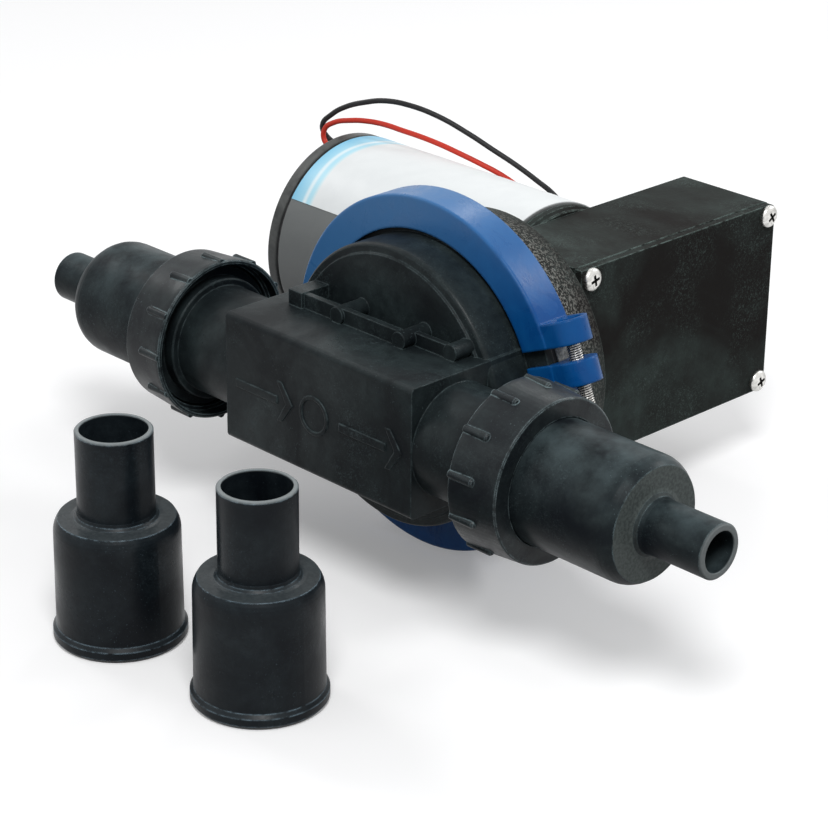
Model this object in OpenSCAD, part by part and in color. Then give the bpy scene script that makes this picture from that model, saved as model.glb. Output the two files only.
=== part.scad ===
// Belt-driven diaphragm waste pump with two hose ports, a motor and two loose larger hose tails.
// X runs along the ports, Y from the pump head back to the drive box, Z up.
// The origin is the middle of the four mounting holes, on the surface that the pump stands on.
// The pieces are drawn round the centre of the clamp ring, and placed() then moves them to that origin.

/* [Hose ports] */
// Outside diameter of the fitted hose tails
tail_d = 19.05; // [16:0.05:21]
// Wall of the fitted hose tails
tail_wall = 2.4; // [1.6:0.1:3]
// Length of each fitted tail beyond its fitting body
tail_len = 27; // [18:1:40]
// Outside diameter of the fitting body
fitting_d = 44.4; // [42:0.2:46]
// Wall of the fitting body
fitting_wall = 3.4; // [2.4:0.2:4.4]
// Length of the fitting body beyond its nut
fitting_len = 42.7; // [34:0.1:50]
// Length of the rounded shoulder at the end of the fitting body
fitting_chamfer = 6.5; // [4:0.5:8]
// Distance of the port axis in front of the ring centre
port_setback = 38.2; // [36:0.2:40]

/* [Union nuts] */
// Diameter of a nut at its open, ribbed rim
nut_d = 61; // [60:0.2:63]
// Draft of the nut, taken off its radius at the hose side
nut_draft = 1.3; // [0.5:0.1:2]
// Length of a nut along the port axis
nut_len = 20.5; // [18:0.5:24]
// Thickness of the lip that holds the fitting
nut_lip = 2.6; // [2:0.2:3.6]
// Number of grip ribs round a nut
nut_ribs = 12; // [10:1:18]
// Length of a grip rib
rib_len = 11; // [7:0.5:14]
// Width of a grip rib
rib_w = 2.9; // [2.2:0.1:3.6]

/* [Pump head] */
// Diameter of the drum in front of the ring
drum_d = 105; // [103:0.5:106]
// Height of the drum in front of the ring's middle plane
drum_front = 24; // [22:0.5:26]
// Radius of the drum's rounded front edge
drum_round = 2; // [1:0.5:3]
// Diameter of the raised round face on the drum's front
face_d = 98.4; // [94:0.2:99.4]
// Length of the valve box across the head
manifold_l = 95.2; // [90:0.2:100]
// Height of the valve box
manifold_h = 48.4; // [46:0.2:52]
// Distance of the valve box's front face from the ring's middle plane
manifold_front = 59; // [57:0.2:61]
// Outside diameter of the round valve housings
valve_d = 41.2; // [40.6:0.2:41.6]
// Length of each valve housing between the box and its nut
valve_len = 26.6; // [22:0.2:32]
// Wall of the head
head_wall = 3.6; // [3:0.2:4.4]
// Height of the raised flow symbol
symbol_h = 0.4; // [0.2:0.1:0.8]
// Diameter of the screw bosses above the valve box
boss_d = 6.4; // [5:0.2:7.5]

/* [Clamp ring] */
// Outside diameter of the clamp ring
ring_d = 133; // [129:1:140]
// Width of the clamp ring along the pump
ring_w = 15; // [13.5:0.5:17]
// Thickness of the ring's band
ring_wall = 3; // [2.4:0.2:3.6]
// Thickness of the ring's two inward lips
lip_t = 2; // [1.4:0.2:2.4]
// Gap between the two ears
ear_gap = 5.8; // [4:0.2:8]
// Thickness of each ear
ear_t = 8.5; // [7:0.5:10]
// How far the ears stand out from the ring
ear_out = 12.4; // [11:0.2:16]
// Angle of the gap above the outlet side
ear_angle = 22.5; // [15:0.5:26]
// Diameter of the clamp screw
clamp_screw_d = 5; // [4:0.5:6]

/* [Diaphragm and rod] */
// Thickness of the diaphragm
membrane_t = 2; // [1.6:0.1:2.6]
// Thickness of the head's clamped flange
head_flange_t = 3.2; // [2.6:0.2:4]
// Diameter of the plate behind the diaphragm
plate_d = 48; // [42:1:54]
// Thickness of the two diaphragm plates
plate_t = 3; // [2.4:0.2:4]
// Width of the connecting rod along the crank
rod_w = 9; // [7:0.5:9.5]
// Throw of the crank, half of the stroke
throw = 4; // [3:0.25:4.5]

/* [Drive box] */
// Size of the drive box along the ports
box_w = 43.9; // [43.5:0.1:48]
// Height of the drive box
box_h = 76.8; // [76:0.2:82]
// Distance of the drive box's rear face from the ring's middle plane
box_rear = 145.8; // [145.6:0.2:154]
// How far the motor side of the box lies from the pump's middle plane
box_side = 8.7; // [8.6:0.1:9.6]
// Wall of the housing
box_wall = 3; // [2.6:0.1:3.4]
// Thickness of the side cover
cover_t = 3.2; // [3:0.1:4]
// Radius of the box's rounded long edges
box_round = 3; // [2:0.5:4.5]
// Diameter of the round body behind the ring, at its rear edge
body_d = 104; // [103:0.5:108]
// Distance of the round body's rear edge from the ring's middle plane
body_rear = 33.3; // [32.5:0.1:34]
// Head diameter of the cover screws
cover_head_d = 8.8; // [7:0.2:9]

/* [Belt drive] */
// Distance of the crank axis from the ring's middle plane
crank_y = 46; // [45:0.5:47]
// Distance of the intermediate shaft from the ring's middle plane
jack_y = 112; // [111:0.5:112.5]
// Diameter of the small pulleys
small_pulley_d = 14; // [13:0.5:15]
// Diameter of the large pulley on the intermediate shaft
jack_pulley_d = 56; // [50:1:56]
// Diameter of the crank pulley
crank_pulley_d = 45; // [40:1:46]
// Thickness of the belts
belt_t = 1.5; // [1.2:0.1:1.8]
// Width of the belts
belt_w = 5; // [4:0.5:5.5]
// Diameter of the crank and intermediate shafts
drive_shaft_d = 8; // [7:0.5:8]

/* [Motor] */
// Outside diameter of the motor can
motor_d = 82; // [78:0.5:82]
// Distance of the motor axis from the ring's middle plane
motor_y = 74.6; // [74.5:0.1:75.5]
// Length of the motor can
can_len = 110; // [100:1:125]
// Width of the end cap's ring
cap_w = 7; // [5.5:0.5:9]
// Width of the flange plate between the can and the drive box
flange_w = 6.3; // [5.5:0.1:8]
// Wall of the motor can
can_wall = 1.8; // [1.4:0.1:2.2]
// Diameter of the armature core
core_d = 61; // [56:0.5:62]
// Diameter of the motor shaft
motor_shaft_d = 8; // [7:0.5:8]
// Diameter of a motor lead
lead_d = 2.2; // [1.8:0.1:2.6]
// Angle at which the rating label starts, above the front of the can
label_angle = 35; // [25:1:45]

/* [Mounting saddle] */
// Distance between the bolt holes along the motor
hole_pitch_x = 84; // [76:1:90]
// Distance between the bolt holes across the motor
hole_pitch_y = 72; // [68:1:80]
// Distance of the saddle's middle from the pump's middle plane
saddle_x = 66; // [62:1:70]
// Height of the ring's lowest point above the surface the pump stands on
ring_lift = 1.5; // [1:0.25:3]
// Thickness of the saddle plate
plate_th = 4; // [3:0.5:5]
// Diameter of the rubber mounts
foot_d = 20; // [18:0.5:22]
// Diameter of the bolt sleeve through each mount
bolt_hole_d = 5.5; // [4.5:0.1:6.5]

/* [Loose hose tails] */
// Outside diameter of the loose tails at their end
spare_tail_d = 26.6; // [25:0.1:28]
// Wall of the loose tails
spare_wall = 1.6; // [1.3:0.1:2.2]
// Overall height of a loose tail as it stands
spare_h = 77; // [70:1:85]
// Height of the fitting body of a loose tail
spare_body_h = 45; // [40:1:50]
// Diameter of the rim bead at the foot of a loose tail
spare_rim_d = 46.4; // [46:0.1:48]
// Height of the rim bead
spare_rim_h = 5.5; // [4:0.5:7]

/* [Hidden] */
$fn = 96;

// Small clearances: flat faces that slide, shafts that run, pieces that are pushed together
play = 0.1;
running = 0.04;
seat = 0.02;
eps = 0.01;

// The ring and what it clamps, from the front lip to the rear lip
ring_r = ring_d / 2;
ring_ri = ring_r - ring_wall;
flange_r = ring_ri - 0.4;
lip_front = -ring_w / 2 + lip_t;
head_y0 = lip_front + play;
head_y1 = head_y0 + head_flange_t;
body_y0 = head_y1 + membrane_t;
body_y1 = ring_w / 2 - lip_t - play;
lip_ri = drum_d / 2 + 1.8;
neck_r = body_d / 2 + 7;
ear_w = ring_w - 0.6;
ring_round = 0.8;
ear_r = ring_r + ear_out - ear_w / 2;
screw_below = 8.5;
clamp_head_h = 4;
clamp_recess = 6.2;

// Places along the port axis, measured outwards from the middle plane
port_y = -port_setback;
valve_x1 = manifold_l / 2 + valve_len;
nut_x0 = valve_x1;
nut_x1 = nut_x0 + nut_len;
nut_wall = 1.6;
nut_mouth = 5;
thread_r = nut_d / 2 - 3.6;
thread_x0 = nut_x0 + nut_mouth + 0.8;
collar_r = valve_d / 2 + 2.6;
collar_x0 = nut_x0 + 0.8;
inlet_rib_turn = -1.5;
outlet_rib_turn = 19;
valve_bore_r = valve_d / 2 - head_wall - 0.4;
valve_flange_t = 2;
fitting_flange_t = 3.2;
fitting_x0 = nut_x1 - nut_lip - play - fitting_flange_t;
spigot_x1 = fitting_x0 - valve_flange_t;
fitting_x1 = nut_x1 + fitting_len;
tail_x1 = fitting_x1 + tail_len;
fitting_r = fitting_d / 2;
tail_r = tail_d / 2;
tail_step = 2.8;
shoulder_drop = 2.4;
manifold_x = manifold_l / 2;

// Housing
box_x0 = -box_side;
box_x1 = box_x0 + box_w;
cover_x0 = box_x1 - cover_t;
cavity_x0 = box_x0 + box_wall;
cavity_y1 = box_rear - box_wall;
cavity_z = box_h / 2 - box_wall;
body_r = body_d / 2;
bowl_y1 = body_rear - box_wall;
cover_y0 = body_rear + 2 * play;
cover_inset = 0.25;
screw_y0 = body_rear + cover_head_d / 2 + 4;
screw_y1 = box_rear - cover_head_d / 2 - 0.1;
screw_z = box_h / 2 - cover_head_d / 2;
notch = 3.5;
notch_depth = 6.5;

// Shafts and pulleys across the box
web_x0 = rod_w / 2 + 1.5;
web_t = 5;
front_belt_x = web_x0 + web_t + 1.5;
pulley_w = belt_w + 1.5;
rear_belt_x = front_belt_x + pulley_w + 0.5;
hub_x1 = rear_belt_x + pulley_w;
shaft_r = drive_shaft_d / 2;
bearing_r = 8;
bearing_w = 4;
bearing_x1 = hub_x1 + 1.2;
shaft_x1 = bearing_x1 + bearing_w - 0.2;
crank_r = 8.5;
rod_bearing_r = crank_r + 4.5;
rod_eye_r = rod_bearing_r + 3;
rod_y = crank_y - throw;
small_r = small_pulley_d / 2;
belt_gap = 0.3;

// Diaphragm, drawn at the front end of its stroke
bulge = throw;
membrane_y = (head_y1 + body_y0) / 2 - bulge;
plate_r = plate_d / 2;
rear_plate_y = membrane_y + membrane_t / 2;
front_plate_y = membrane_y - membrane_t / 2;
rod_y0 = rear_plate_y + plate_t;
head_inside = drum_front - head_wall;

// Motor
can_r = motor_d / 2;
flange_x0 = box_x0 - flange_w;
can_x0 = flange_x0 - can_len;
cap_x0 = can_x0 - cap_w;
can_ri = can_r - can_wall;
magnet_t = 7;
magnet_r = can_ri - 0.1;
core_r = min(core_d / 2, magnet_r - magnet_t - 0.6);
motor_shaft_r = motor_shaft_d / 2;
shaft_x0 = cap_x0 + 3.5;
motor_bearing_r = 11;
motor_bearing_w = 7;
bolt_ring = can_ri - 4.2;
bolt_turn = -40;
flange_screw_ring = 30;
FLANGE_SCREWS = [60, 120, 240, 300];
label_t = 0.3;
core_x0 = can_x0 + 24;
core_x1 = flange_x0 - 24;
slots = 12;

// Saddle
floor_z = -ring_r - ring_lift;
foot_h = 6;
saddle_z0 = floor_z + foot_h;
saddle_z1 = saddle_z0 + plate_th;
saddle_l = hole_pitch_x + foot_d + 2;
saddle_b = hole_pitch_y + foot_d + 2;
ring_centre = [saddle_x, -motor_y, -floor_z];
cradle_w = 26;
cradle_t = 4;
flange_h = 2.5;

// Route of the black lead, chosen by hand to lie where the leads show above the motor
BLACK = [[-135, 82, 33], [-142, 82, 33], [-147, 81, 35], [-148, 79, 40], [-143, 80, 46], [-137, 82, 50],
    [-128, 84, 53.5], [-118, 86, 56], [-107, 89, 56], [-96, 94, 53], [-84, 100, 47], [-75, 104, 42],
    [-66, 108, 37], [-58, 112, 31.5], [-52, 116, 26], [-46, 119, 18], [-42, 121, 8], [-39, 122, -4],
    [-37, 123, -16], [-36, 124, -28], [-36, 125, -40], [-37, 128, -51], [-41, 133, -60],
    [-48, 139, -65], [-57, 144, -66.6], [-67, 147, -66.6], [-78, 148, -66.6], [-89, 147, -66.6],
    [-99, 144, -66.6]];
// Route of the red lead
RED = [[-135, 77, 33], [-140, 77, 33], [-144.5, 77, 35], [-145, 77.5, 39.5], [-141, 79, 43],
    [-134, 81.5, 45], [-126, 84, 46], [-118, 86, 46], [-110, 88, 45], [-102, 90, 44], [-93, 93, 42],
    [-85, 96, 39.5], [-77, 99.5, 36.5], [-69.5, 103.8, 32.7], [-64, 108.6, 27.4], [-60, 113, 20.4],
    [-57, 116.6, 11.2], [-55, 118.4, 0], [-53, 119, -11], [-52, 119.6, -22], [-52, 120.8, -33],
    [-53, 122.5, -44], [-56, 126.5, -54], [-61, 131.5, -62], [-68, 136, -66], [-77, 138.5, -66.6],
    [-87, 138.5, -66.6], [-97, 136, -66.6], [-106, 132, -66.6]];

module placed() {
    translate(ring_centre) children();
}

module along_x(r, x0, x1) {
    translate([x0, 0, 0]) rotate([0, 90, 0]) cylinder(r = r, h = x1 - x0);
}

module along_y(r, y0, y1) {
    translate([0, y0, 0]) rotate([-90, 0, 0]) cylinder(r = r, h = y1 - y0);
}

// A revolved profile of [radius, place] points round the X axis
module turned_x(points) {
    rotate([0, 90, 0]) rotate_extrude() polygon(points);
}

// A revolved profile of [radius, place] points round the Y axis
module turned_y(points) {
    rotate([-90, 0, 0]) rotate_extrude() polygon(points);
}

// A flat outline in Y and Z, made solid along X
module plate_x(x0, x1) {
    translate([x0, 0, 0]) rotate([90, 0, 90]) linear_extrude(x1 - x0) children();
}

// A flat outline in X and Z, made solid along Y
module plate_y(y0, y1) {
    translate([0, y1, 0]) rotate([90, 0, 0]) linear_extrude(y1 - y0) children();
}

function arc(c, r, a0, a1, n) =
    [for (i = [0:n]) let (a = a0 + (a1 - a0) * i / n) [c[0] + r * cos(a), c[1] + r * sin(a)]];

// Outline of a rectangle from a to b with round corners
function round_rect(a, b, r, n = 5) = concat(
    arc([b[0] - r, b[1] - r], r, 0, 90, n), arc([a[0] + r, b[1] - r], r, 90, 180, n),
    arc([a[0] + r, a[1] + r], r, 180, 270, n), arc([b[0] - r, a[1] + r], r, 270, 360, n));

// Outline of a belt that lies round two pulleys on the Y axis, radius ra at ya and rb at yb
function belt_loop(ya, ra, yb, rb, n = 24) =
    let (tangent = acos((ra - rb) / (yb - ya)))
    concat(arc([ya, 0], ra, tangent, 360 - tangent, n), arc([yb, 0], rb, -tangent, tangent, n));

// Fittings: the same shape serves both ports, with the outlet as drawn and the inlet mirrored

// Points of a body's shoulder, which draws in ever faster towards its flat end at x1
function shoulder(r, x1, len, drop) =
    [for (t = [0.25, 0.5, 0.75, 1]) [r - drop * pow(t, 2.2), x1 - len * (1 - t)]];

// Points of the fillet between a flat end at x1 and the tube of radius r on it
function root(r, x1, size) = [for (a = [0, 30, 60, 90]) [r + size * (1 - sin(a)), x1 + size * (1 - cos(a))]];

module fitting_solid() {
    difference() {
        turned_x([[0, fitting_x0], [thread_r - 0.2, fitting_x0],
            [thread_r - 0.2, fitting_x0 + fitting_flange_t],
            [fitting_r, fitting_x0 + fitting_flange_t], [fitting_r, fitting_x1 - fitting_chamfer],
            each shoulder(fitting_r, fitting_x1, fitting_chamfer, shoulder_drop),
            each root(tail_r, fitting_x1, tail_step),
            [tail_r, tail_x1 - 0.6], [tail_r - 0.6, tail_x1], [0, tail_x1]]);
        along_x(fitting_r - fitting_wall, fitting_x0 - 1, fitting_x1 - fitting_wall - fitting_chamfer / 2);
        along_x(tail_r - tail_wall, fitting_x0, tail_x1 + 1);
    }
}

module nut_solid(rib_turn) {
    difference() {
        union() {
            turned_x([[0, nut_x0], [nut_d / 2 - 0.5, nut_x0], [nut_d / 2, nut_x0 + 0.5],
                [nut_d / 2, nut_x0 + 2], [nut_d / 2 - nut_draft, nut_x1 - 0.5],
                [nut_d / 2 - nut_draft - 0.5, nut_x1], [0, nut_x1]]);
            for (i = [0:nut_ribs - 1])
                rotate([rib_turn + 360 * i / nut_ribs, 0, 0])
                    translate([0, nut_d / 2 - rib_w * 0.2, 0]) rib_pin();
        }
        along_x(nut_d / 2 - nut_wall, nut_x0 - 1, nut_x0 + nut_mouth);
        along_x(thread_r + 0.4, nut_x0 - 1, nut_x1 - nut_lip);
        along_x(fitting_r + 0.3, nut_x0, nut_x1 + 1);
    }
}

// A round grip rib with a domed outer end, half sunk in the nut
module rib_pin() {
    r = rib_w / 2;
    rotate([0, 90, 0]) translate([0, 0, nut_x0 + 0.3])
        rotate_extrude($fn = 24)
            polygon([[0, 0], [r, 0], [r, rib_len - 1], [r * 0.7, rib_len - 0.3], [0, rib_len]]);
}

// A thin round slice, the start of a duckbill's tapering lips
module disc(r, x) {
    translate([x, 0, 0]) rotate([0, 90, 0]) cylinder(r = r, h = eps, $fn = 32);
}

// A duckbill valve: a flange, a round barrel and two lips that close to a slit
module duckbill(x0) {
    barrel_r = 14;
    barrel_x1 = x0 + 9;
    slit_w = 23;
    length = 30;
    lip = 2.2;
    color("#26282a") placed() difference() {
        union() {
            along_x(thread_r - 0.6, x0, x0 + valve_flange_t);
            along_x(barrel_r, x0, barrel_x1);
            hull() {
                disc(barrel_r, barrel_x1 - eps);
                translate([x0 + length, -slit_w / 2, -lip]) cube([eps, slit_w, 2 * lip]);
            }
        }
        along_x(barrel_r - 2, x0 - 1, barrel_x1);
        hull() {
            disc(barrel_r - 2, barrel_x1 - 2 * eps);
            translate([x0 + length + 1, -slit_w / 2 + 1.5, -0.3]) cube([eps, slit_w - 3, 0.6]);
        }
    }
}

module at_port() {
    translate([0, port_y, 0]) children();
}

module outlet_tail() {
    color("#25272a") placed() at_port() fitting_solid();
}

module inlet_tail() {
    color("#25272a") placed() at_port() mirror([1, 0, 0]) fitting_solid();
}

module outlet_nut() {
    color("#1e2023") placed() at_port() nut_solid(outlet_rib_turn);
}

module inlet_nut() {
    color("#1e2023") placed() at_port() mirror([1, 0, 0]) nut_solid(inlet_rib_turn);
}

module inlet_valve() {
    at_port() duckbill(-spigot_x1 - valve_flange_t);
}

module outlet_valve() {
    at_port() duckbill(spigot_x1);
}

// Pump head

module arrow(x0, x1) {
    head = 8;
    half = 7.5;
    bar = 3;
    nib = 2.4;
    union() {
        translate([x0, -bar / 2]) square([x1 - x0 - head, bar]);
        polygon([[x1 - head, half], [x1 - head + nib, half], [x1, 0], [x1 - head + nib, -half],
            [x1 - head, -half], [x1 - nib - 1, 0]]);
    }
}

module flow_symbol() {
    ring_out = 7.3;
    plate_y(-manifold_front - symbol_h, -manifold_front + 1) {
        translate([-1, -1]) difference() {
            circle(r = ring_out);
            circle(r = ring_out - 1.3);
        }
        translate([0, -1]) arrow(-42, -12);
        translate([0, -1]) arrow(12, 43);
    }
}

module pump_head() {
    boss_tip = manifold_front - 22;
    rib_t = 2.4;
    lug_w = 7;
    rim_y = -drum_front + 0.9;
    boss_z = manifold_h / 2 + boss_d / 2 - 0.6;
    chamber_r = drum_d / 2 - head_wall;
    color("#1e2022") placed() difference() {
        union() {
            turned_y(concat([[0, -drum_front], [face_d / 2 - 0.4, -drum_front], [face_d / 2, rim_y]],
                arc([drum_d / 2 - drum_round, rim_y + drum_round], drum_round, -60, 0, 5),
                [[drum_d / 2, head_y0], [flange_r, head_y0], [flange_r, head_y1], [0, head_y1]]));
            plate_x(-manifold_x, manifold_x) polygon(round_rect([-manifold_front, -manifold_h / 2],
                [-drum_front + 4.5, manifold_h / 2], 2));
            intersection() {
                translate([-manifold_x, -drum_front, -manifold_h / 2])
                    cube([manifold_l, drum_front + head_y0 + 0.5, manifold_h]);
                along_y(drum_d / 2 + 1.2, -drum_front, head_y0 + 0.5);
            }
            at_port() along_x(valve_d / 2, -valve_x1 - 1, valve_x1 + 1);
            at_port() for (side = [0, 1]) mirror([side, 0, 0])
                turned_x([[0, collar_x0], [collar_r - 0.4, collar_x0], [collar_r, collar_x0 + 0.4],
                    [collar_r, thread_x0], [thread_r - 0.5, thread_x0], [thread_r, thread_x0 + 0.5],
                    [thread_r, spigot_x1], [0, spigot_x1]]);
            translate([-35 - lug_w / 2, -boss_tip, manifold_h / 2 - 1])
                cube([lug_w, boss_tip - drum_front + 1, boss_d + 0.4]);
            for (x = [-13.5, 18]) translate([x, 0, boss_z]) along_y(boss_d / 2, -boss_tip, -drum_front + 1);
            translate([38, 0, boss_z]) along_y(boss_d / 2, -boss_tip + 5, -drum_front + 1);
            translate([-36, -boss_tip + 1.2, manifold_h / 2 - 1]) cube([52, rib_t, boss_d + 0.1]);
            translate([16, -boss_tip + 5 + 0.6, manifold_h / 2 - 1]) cube([22, rib_t, boss_d - 0.6]);
            flow_symbol();
        }
        turned_y([[0, -head_inside], [chamber_r - 18, -head_inside], [chamber_r, -head_inside + 9],
            [chamber_r, head_y1 + 1], [0, head_y1 + 1]]);
        for (side = [0, 1]) mirror([side, 0, 0]) {
            at_port() along_x(valve_bore_r, 4, valve_x1 + nut_len);
            translate([27, 0, 0]) along_y(13, port_y, -head_inside + 1);
        }
    }
}

// Clamp ring and its screw

module in_ear_frame() {
    rotate([0, -ear_angle, 0]) children();
}

module ear(z0) {
    translate([0, 0, z0]) {
        translate([ring_ri + 1, -ear_w / 2, 0]) cube([ear_r - ring_ri - 1, ear_w, ear_t]);
        translate([ear_r, 0, 0]) cylinder(r = ear_w / 2, h = ear_t);
    }
}

module clamp_ring() {
    recess_r = clamp_screw_d * 0.95 + 0.3;
    color("#1c5a9c") placed() difference() {
        union() {
            turned_y(concat([[lip_ri, -ring_w / 2]],
                arc([ring_r - ring_round, -ring_w / 2 + ring_round], ring_round, -90, 0, 3),
                [[ring_r, ring_w / 2 - 1], [ring_r - 1, ring_w / 2], [neck_r + 0.6, ring_w / 2],
                [neck_r + 0.6, ring_w / 2 - lip_t], [ring_ri, ring_w / 2 - lip_t],
                [ring_ri, lip_front], [lip_ri, lip_front]]));
            in_ear_frame() {
                ear(ear_gap / 2);
                ear(-ear_gap / 2 - ear_t);
            }
        }
        in_ear_frame() {
            translate([0, -ring_w, -ear_gap / 2]) cube([ring_d, 2 * ring_w, ear_gap]);
            translate([ear_r, 0, 0]) {
                cylinder(r = clamp_screw_d / 2 + 0.25, h = ear_gap / 2 + ear_t + 1);
                translate([0, 0, -ear_gap / 2 - ear_t - 1])
                    cylinder(r = clamp_screw_d / 2 + seat, h = ear_gap / 2 + ear_t + 1);
                translate([0, 0, ear_gap / 2 + ear_t - clamp_recess])
                    cylinder(r = recess_r, h = clamp_recess + 1);
            }
        }
    }
}

module clamp_screw() {
    head_r = clamp_screw_d * 0.95 - 0.1;
    socket_r = clamp_screw_d * 0.46;
    head_z = ear_gap / 2 + ear_t - clamp_recess;
    color("silver") placed() in_ear_frame() translate([ear_r, 0, 0]) difference() {
        union() {
            translate([0, 0, head_z]) cylinder(r = head_r, h = clamp_head_h);
            translate([0, 0, -ear_gap / 2 - ear_t - screw_below])
                cylinder(r = clamp_screw_d / 2, h = head_z + ear_gap / 2 + ear_t + screw_below + eps);
        }
        translate([0, 0, head_z + 1.8]) cylinder(r = socket_r, h = clamp_head_h, $fn = 6);
    }
}

// Diaphragm, its plates and the connecting rod

module diaphragm() {
    rise_r = drum_d / 2 - head_wall - 3;
    rim_y0 = head_y1;
    rim_y1 = body_y0;
    centre_r = plate_r + 1.5;
    color("#111111") placed() difference() {
        turned_y([[0, membrane_y - membrane_t / 2], [centre_r, membrane_y - membrane_t / 2],
            [rise_r, rim_y0 + play], [rise_r + 2, rim_y0 + play], [flange_r - 0.4, rim_y0 + seat],
            [flange_r - 0.4, rim_y1 - seat], [rise_r, rim_y1 - seat], [centre_r, membrane_y + membrane_t / 2],
            [0, membrane_y + membrane_t / 2]]);
        along_y(3.2, membrane_y - 5, membrane_y + 5);
    }
}

module front_plate() {
    color("gainsboro") placed() difference() {
        turned_y([[0, front_plate_y - plate_t - seat], [plate_r - 3.5, front_plate_y - plate_t - seat],
            [plate_r - 1.5, front_plate_y - plate_t + 1], [plate_r - 1.5, front_plate_y - seat],
            [0, front_plate_y - seat]]);
        along_y(3.2, front_plate_y - 10, front_plate_y + 10);
    }
}

module rear_plate() {
    color("gainsboro") placed() difference() {
        turned_y([[0, rear_plate_y + seat], [plate_r, rear_plate_y + seat], [plate_r, rod_y0 - 1.4],
            [plate_r - 1.4, rod_y0 - seat], [0, rod_y0 - seat]]);
        along_y(3.2, rear_plate_y - 10, rear_plate_y + 10);
    }
}

module diaphragm_screw() {
    head_y = front_plate_y - plate_t - 2 * seat;
    color("silver") placed() difference() {
        union() {
            along_y(3, head_y - eps, rod_y0 + 8);
            turned_y([[0, head_y - 3.2], [3.6, head_y - 3.2], [5.2, head_y - 1.6], [5.4, head_y],
                [0, head_y]]);
        }
        translate([0, head_y - 1.6, 0]) rotate([90, 0, 0]) cylinder(r = 2.3, h = 5, $fn = 6);
    }
}

// The rod is a flat link with a big eye at the crank and a round boss at the diaphragm
module connecting_rod() {
    neck = 8;
    foot_y = rod_y0 + 6;
    eye_y = rod_y - rod_eye_r + 2.5;
    web = 3;
    color("lightslategray") placed() difference() {
        union() {
            translate([0, rod_y, 0]) along_x(rod_eye_r, -rod_w / 2, rod_w / 2);
            along_y(neck, rod_y0 + seat, foot_y + 1);
            plate_x(-rod_w / 2, rod_w / 2) polygon([[foot_y, -neck + 1], [eye_y + 3, -neck - 1.5],
                [eye_y + 3, neck + 1.5], [foot_y, neck - 1]]);
        }
        translate([0, rod_y, 0]) along_x(rod_bearing_r + seat, -rod_w, rod_w);
        for (side = [-1, 1]) translate([side * (rod_w + web) / 2, 0, 0])
            plate_x(-rod_w / 2, rod_w / 2) polygon([[foot_y + 3, -neck + 3.5], [eye_y - 0.5, -neck + 2],
                [eye_y - 0.5, neck - 2], [foot_y + 3, neck - 3.5]]);
        along_y(3.1, rod_y0 - 1, rod_y0 + 8.3);
    }
}

// A shielded ball bearing, as one ring with a shallow groove in each face
module bearing(x0, w, r_in, r_out) {
    groove = 0.5;
    r_a = r_in + (r_out - r_in) * 0.3;
    r_b = r_in + (r_out - r_in) * 0.72;
    turned_x([[r_in, x0], [r_a, x0], [r_a, x0 + groove], [r_b, x0 + groove], [r_b, x0], [r_out, x0],
        [r_out, x0 + w], [r_b, x0 + w], [r_b, x0 + w - groove], [r_a, x0 + w - groove], [r_a, x0 + w],
        [r_in, x0 + w]]);
}

module rod_bearing() {
    color("silver") placed() translate([0, rod_y, 0])
        bearing(-rod_w / 2 + 0.5, rod_w - 1, crank_r + running, rod_bearing_r);
}

// Belt drive: motor to intermediate shaft to crank

module crankshaft() {
    color("silver") placed() {
        translate([0, rod_y, 0]) along_x(crank_r, -rod_w / 2, rod_w / 2);
        translate([0, crank_y, 0]) along_x(shaft_r, rod_w / 2 - eps, shaft_x1);
    }
}

module pulley(x0, w, r, hub, bore, holes) {
    rim = 2.4;
    web = 2.4;
    difference() {
        turned_x([[bore, x0], [hub, x0], [hub, x0 + (w - web) / 2], [r - rim, x0 + (w - web) / 2],
            [r - rim, x0], [r, x0], [r, x0 + w], [r - rim, x0 + w], [r - rim, x0 + (w + web) / 2],
            [hub, x0 + (w + web) / 2], [hub, x0 + w], [bore, x0 + w]]);
        for (i = [0:holes - 1]) rotate([360 * i / holes, 0, 0])
            translate([0, (hub + r - rim) / 2, 0]) along_x((r - rim - hub) * 0.3, x0 - 1, x0 + w + 1);
    }
}

module crank_pulley() {
    color("#303338") placed() translate([0, crank_y, 0])
        pulley(front_belt_x, pulley_w, crank_pulley_d / 2, 7, shaft_r + seat, 5);
}

module jackshaft() {
    color("silver") placed() translate([0, jack_y, 0]) along_x(shaft_r, cavity_x0 + 2, shaft_x1);
}

module jackshaft_pulley() {
    color("#303338") placed() translate([0, jack_y, 0]) {
        pulley(rear_belt_x, pulley_w, jack_pulley_d / 2, small_r, shaft_r + seat, 6);
        turned_x([[shaft_r + seat, front_belt_x], [small_r, front_belt_x], [small_r, rear_belt_x + eps],
            [shaft_r + seat, rear_belt_x + eps]]);
    }
}

module motor_pulley() {
    color("silver") placed() translate([0, motor_y, 0])
        turned_x([[motor_shaft_r + seat, rear_belt_x], [small_r, rear_belt_x], [small_r, hub_x1],
            [motor_shaft_r + seat, hub_x1]]);
}

module belt(x0, ya, ra, yb, rb) {
    color("#151515") placed() plate_x(x0, x0 + belt_w) difference() {
        polygon(belt_loop(ya, ra + belt_gap + belt_t, yb, rb + belt_gap + belt_t));
        polygon(belt_loop(ya, ra + belt_gap, yb, rb + belt_gap));
    }
}

module crank_belt() {
    belt(front_belt_x + (pulley_w - belt_w) / 2, crank_y, crank_pulley_d / 2, jack_y, small_r);
}

module motor_belt() {
    belt(rear_belt_x + (pulley_w - belt_w) / 2, motor_y, small_r, jack_y, jack_pulley_d / 2);
}

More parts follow.
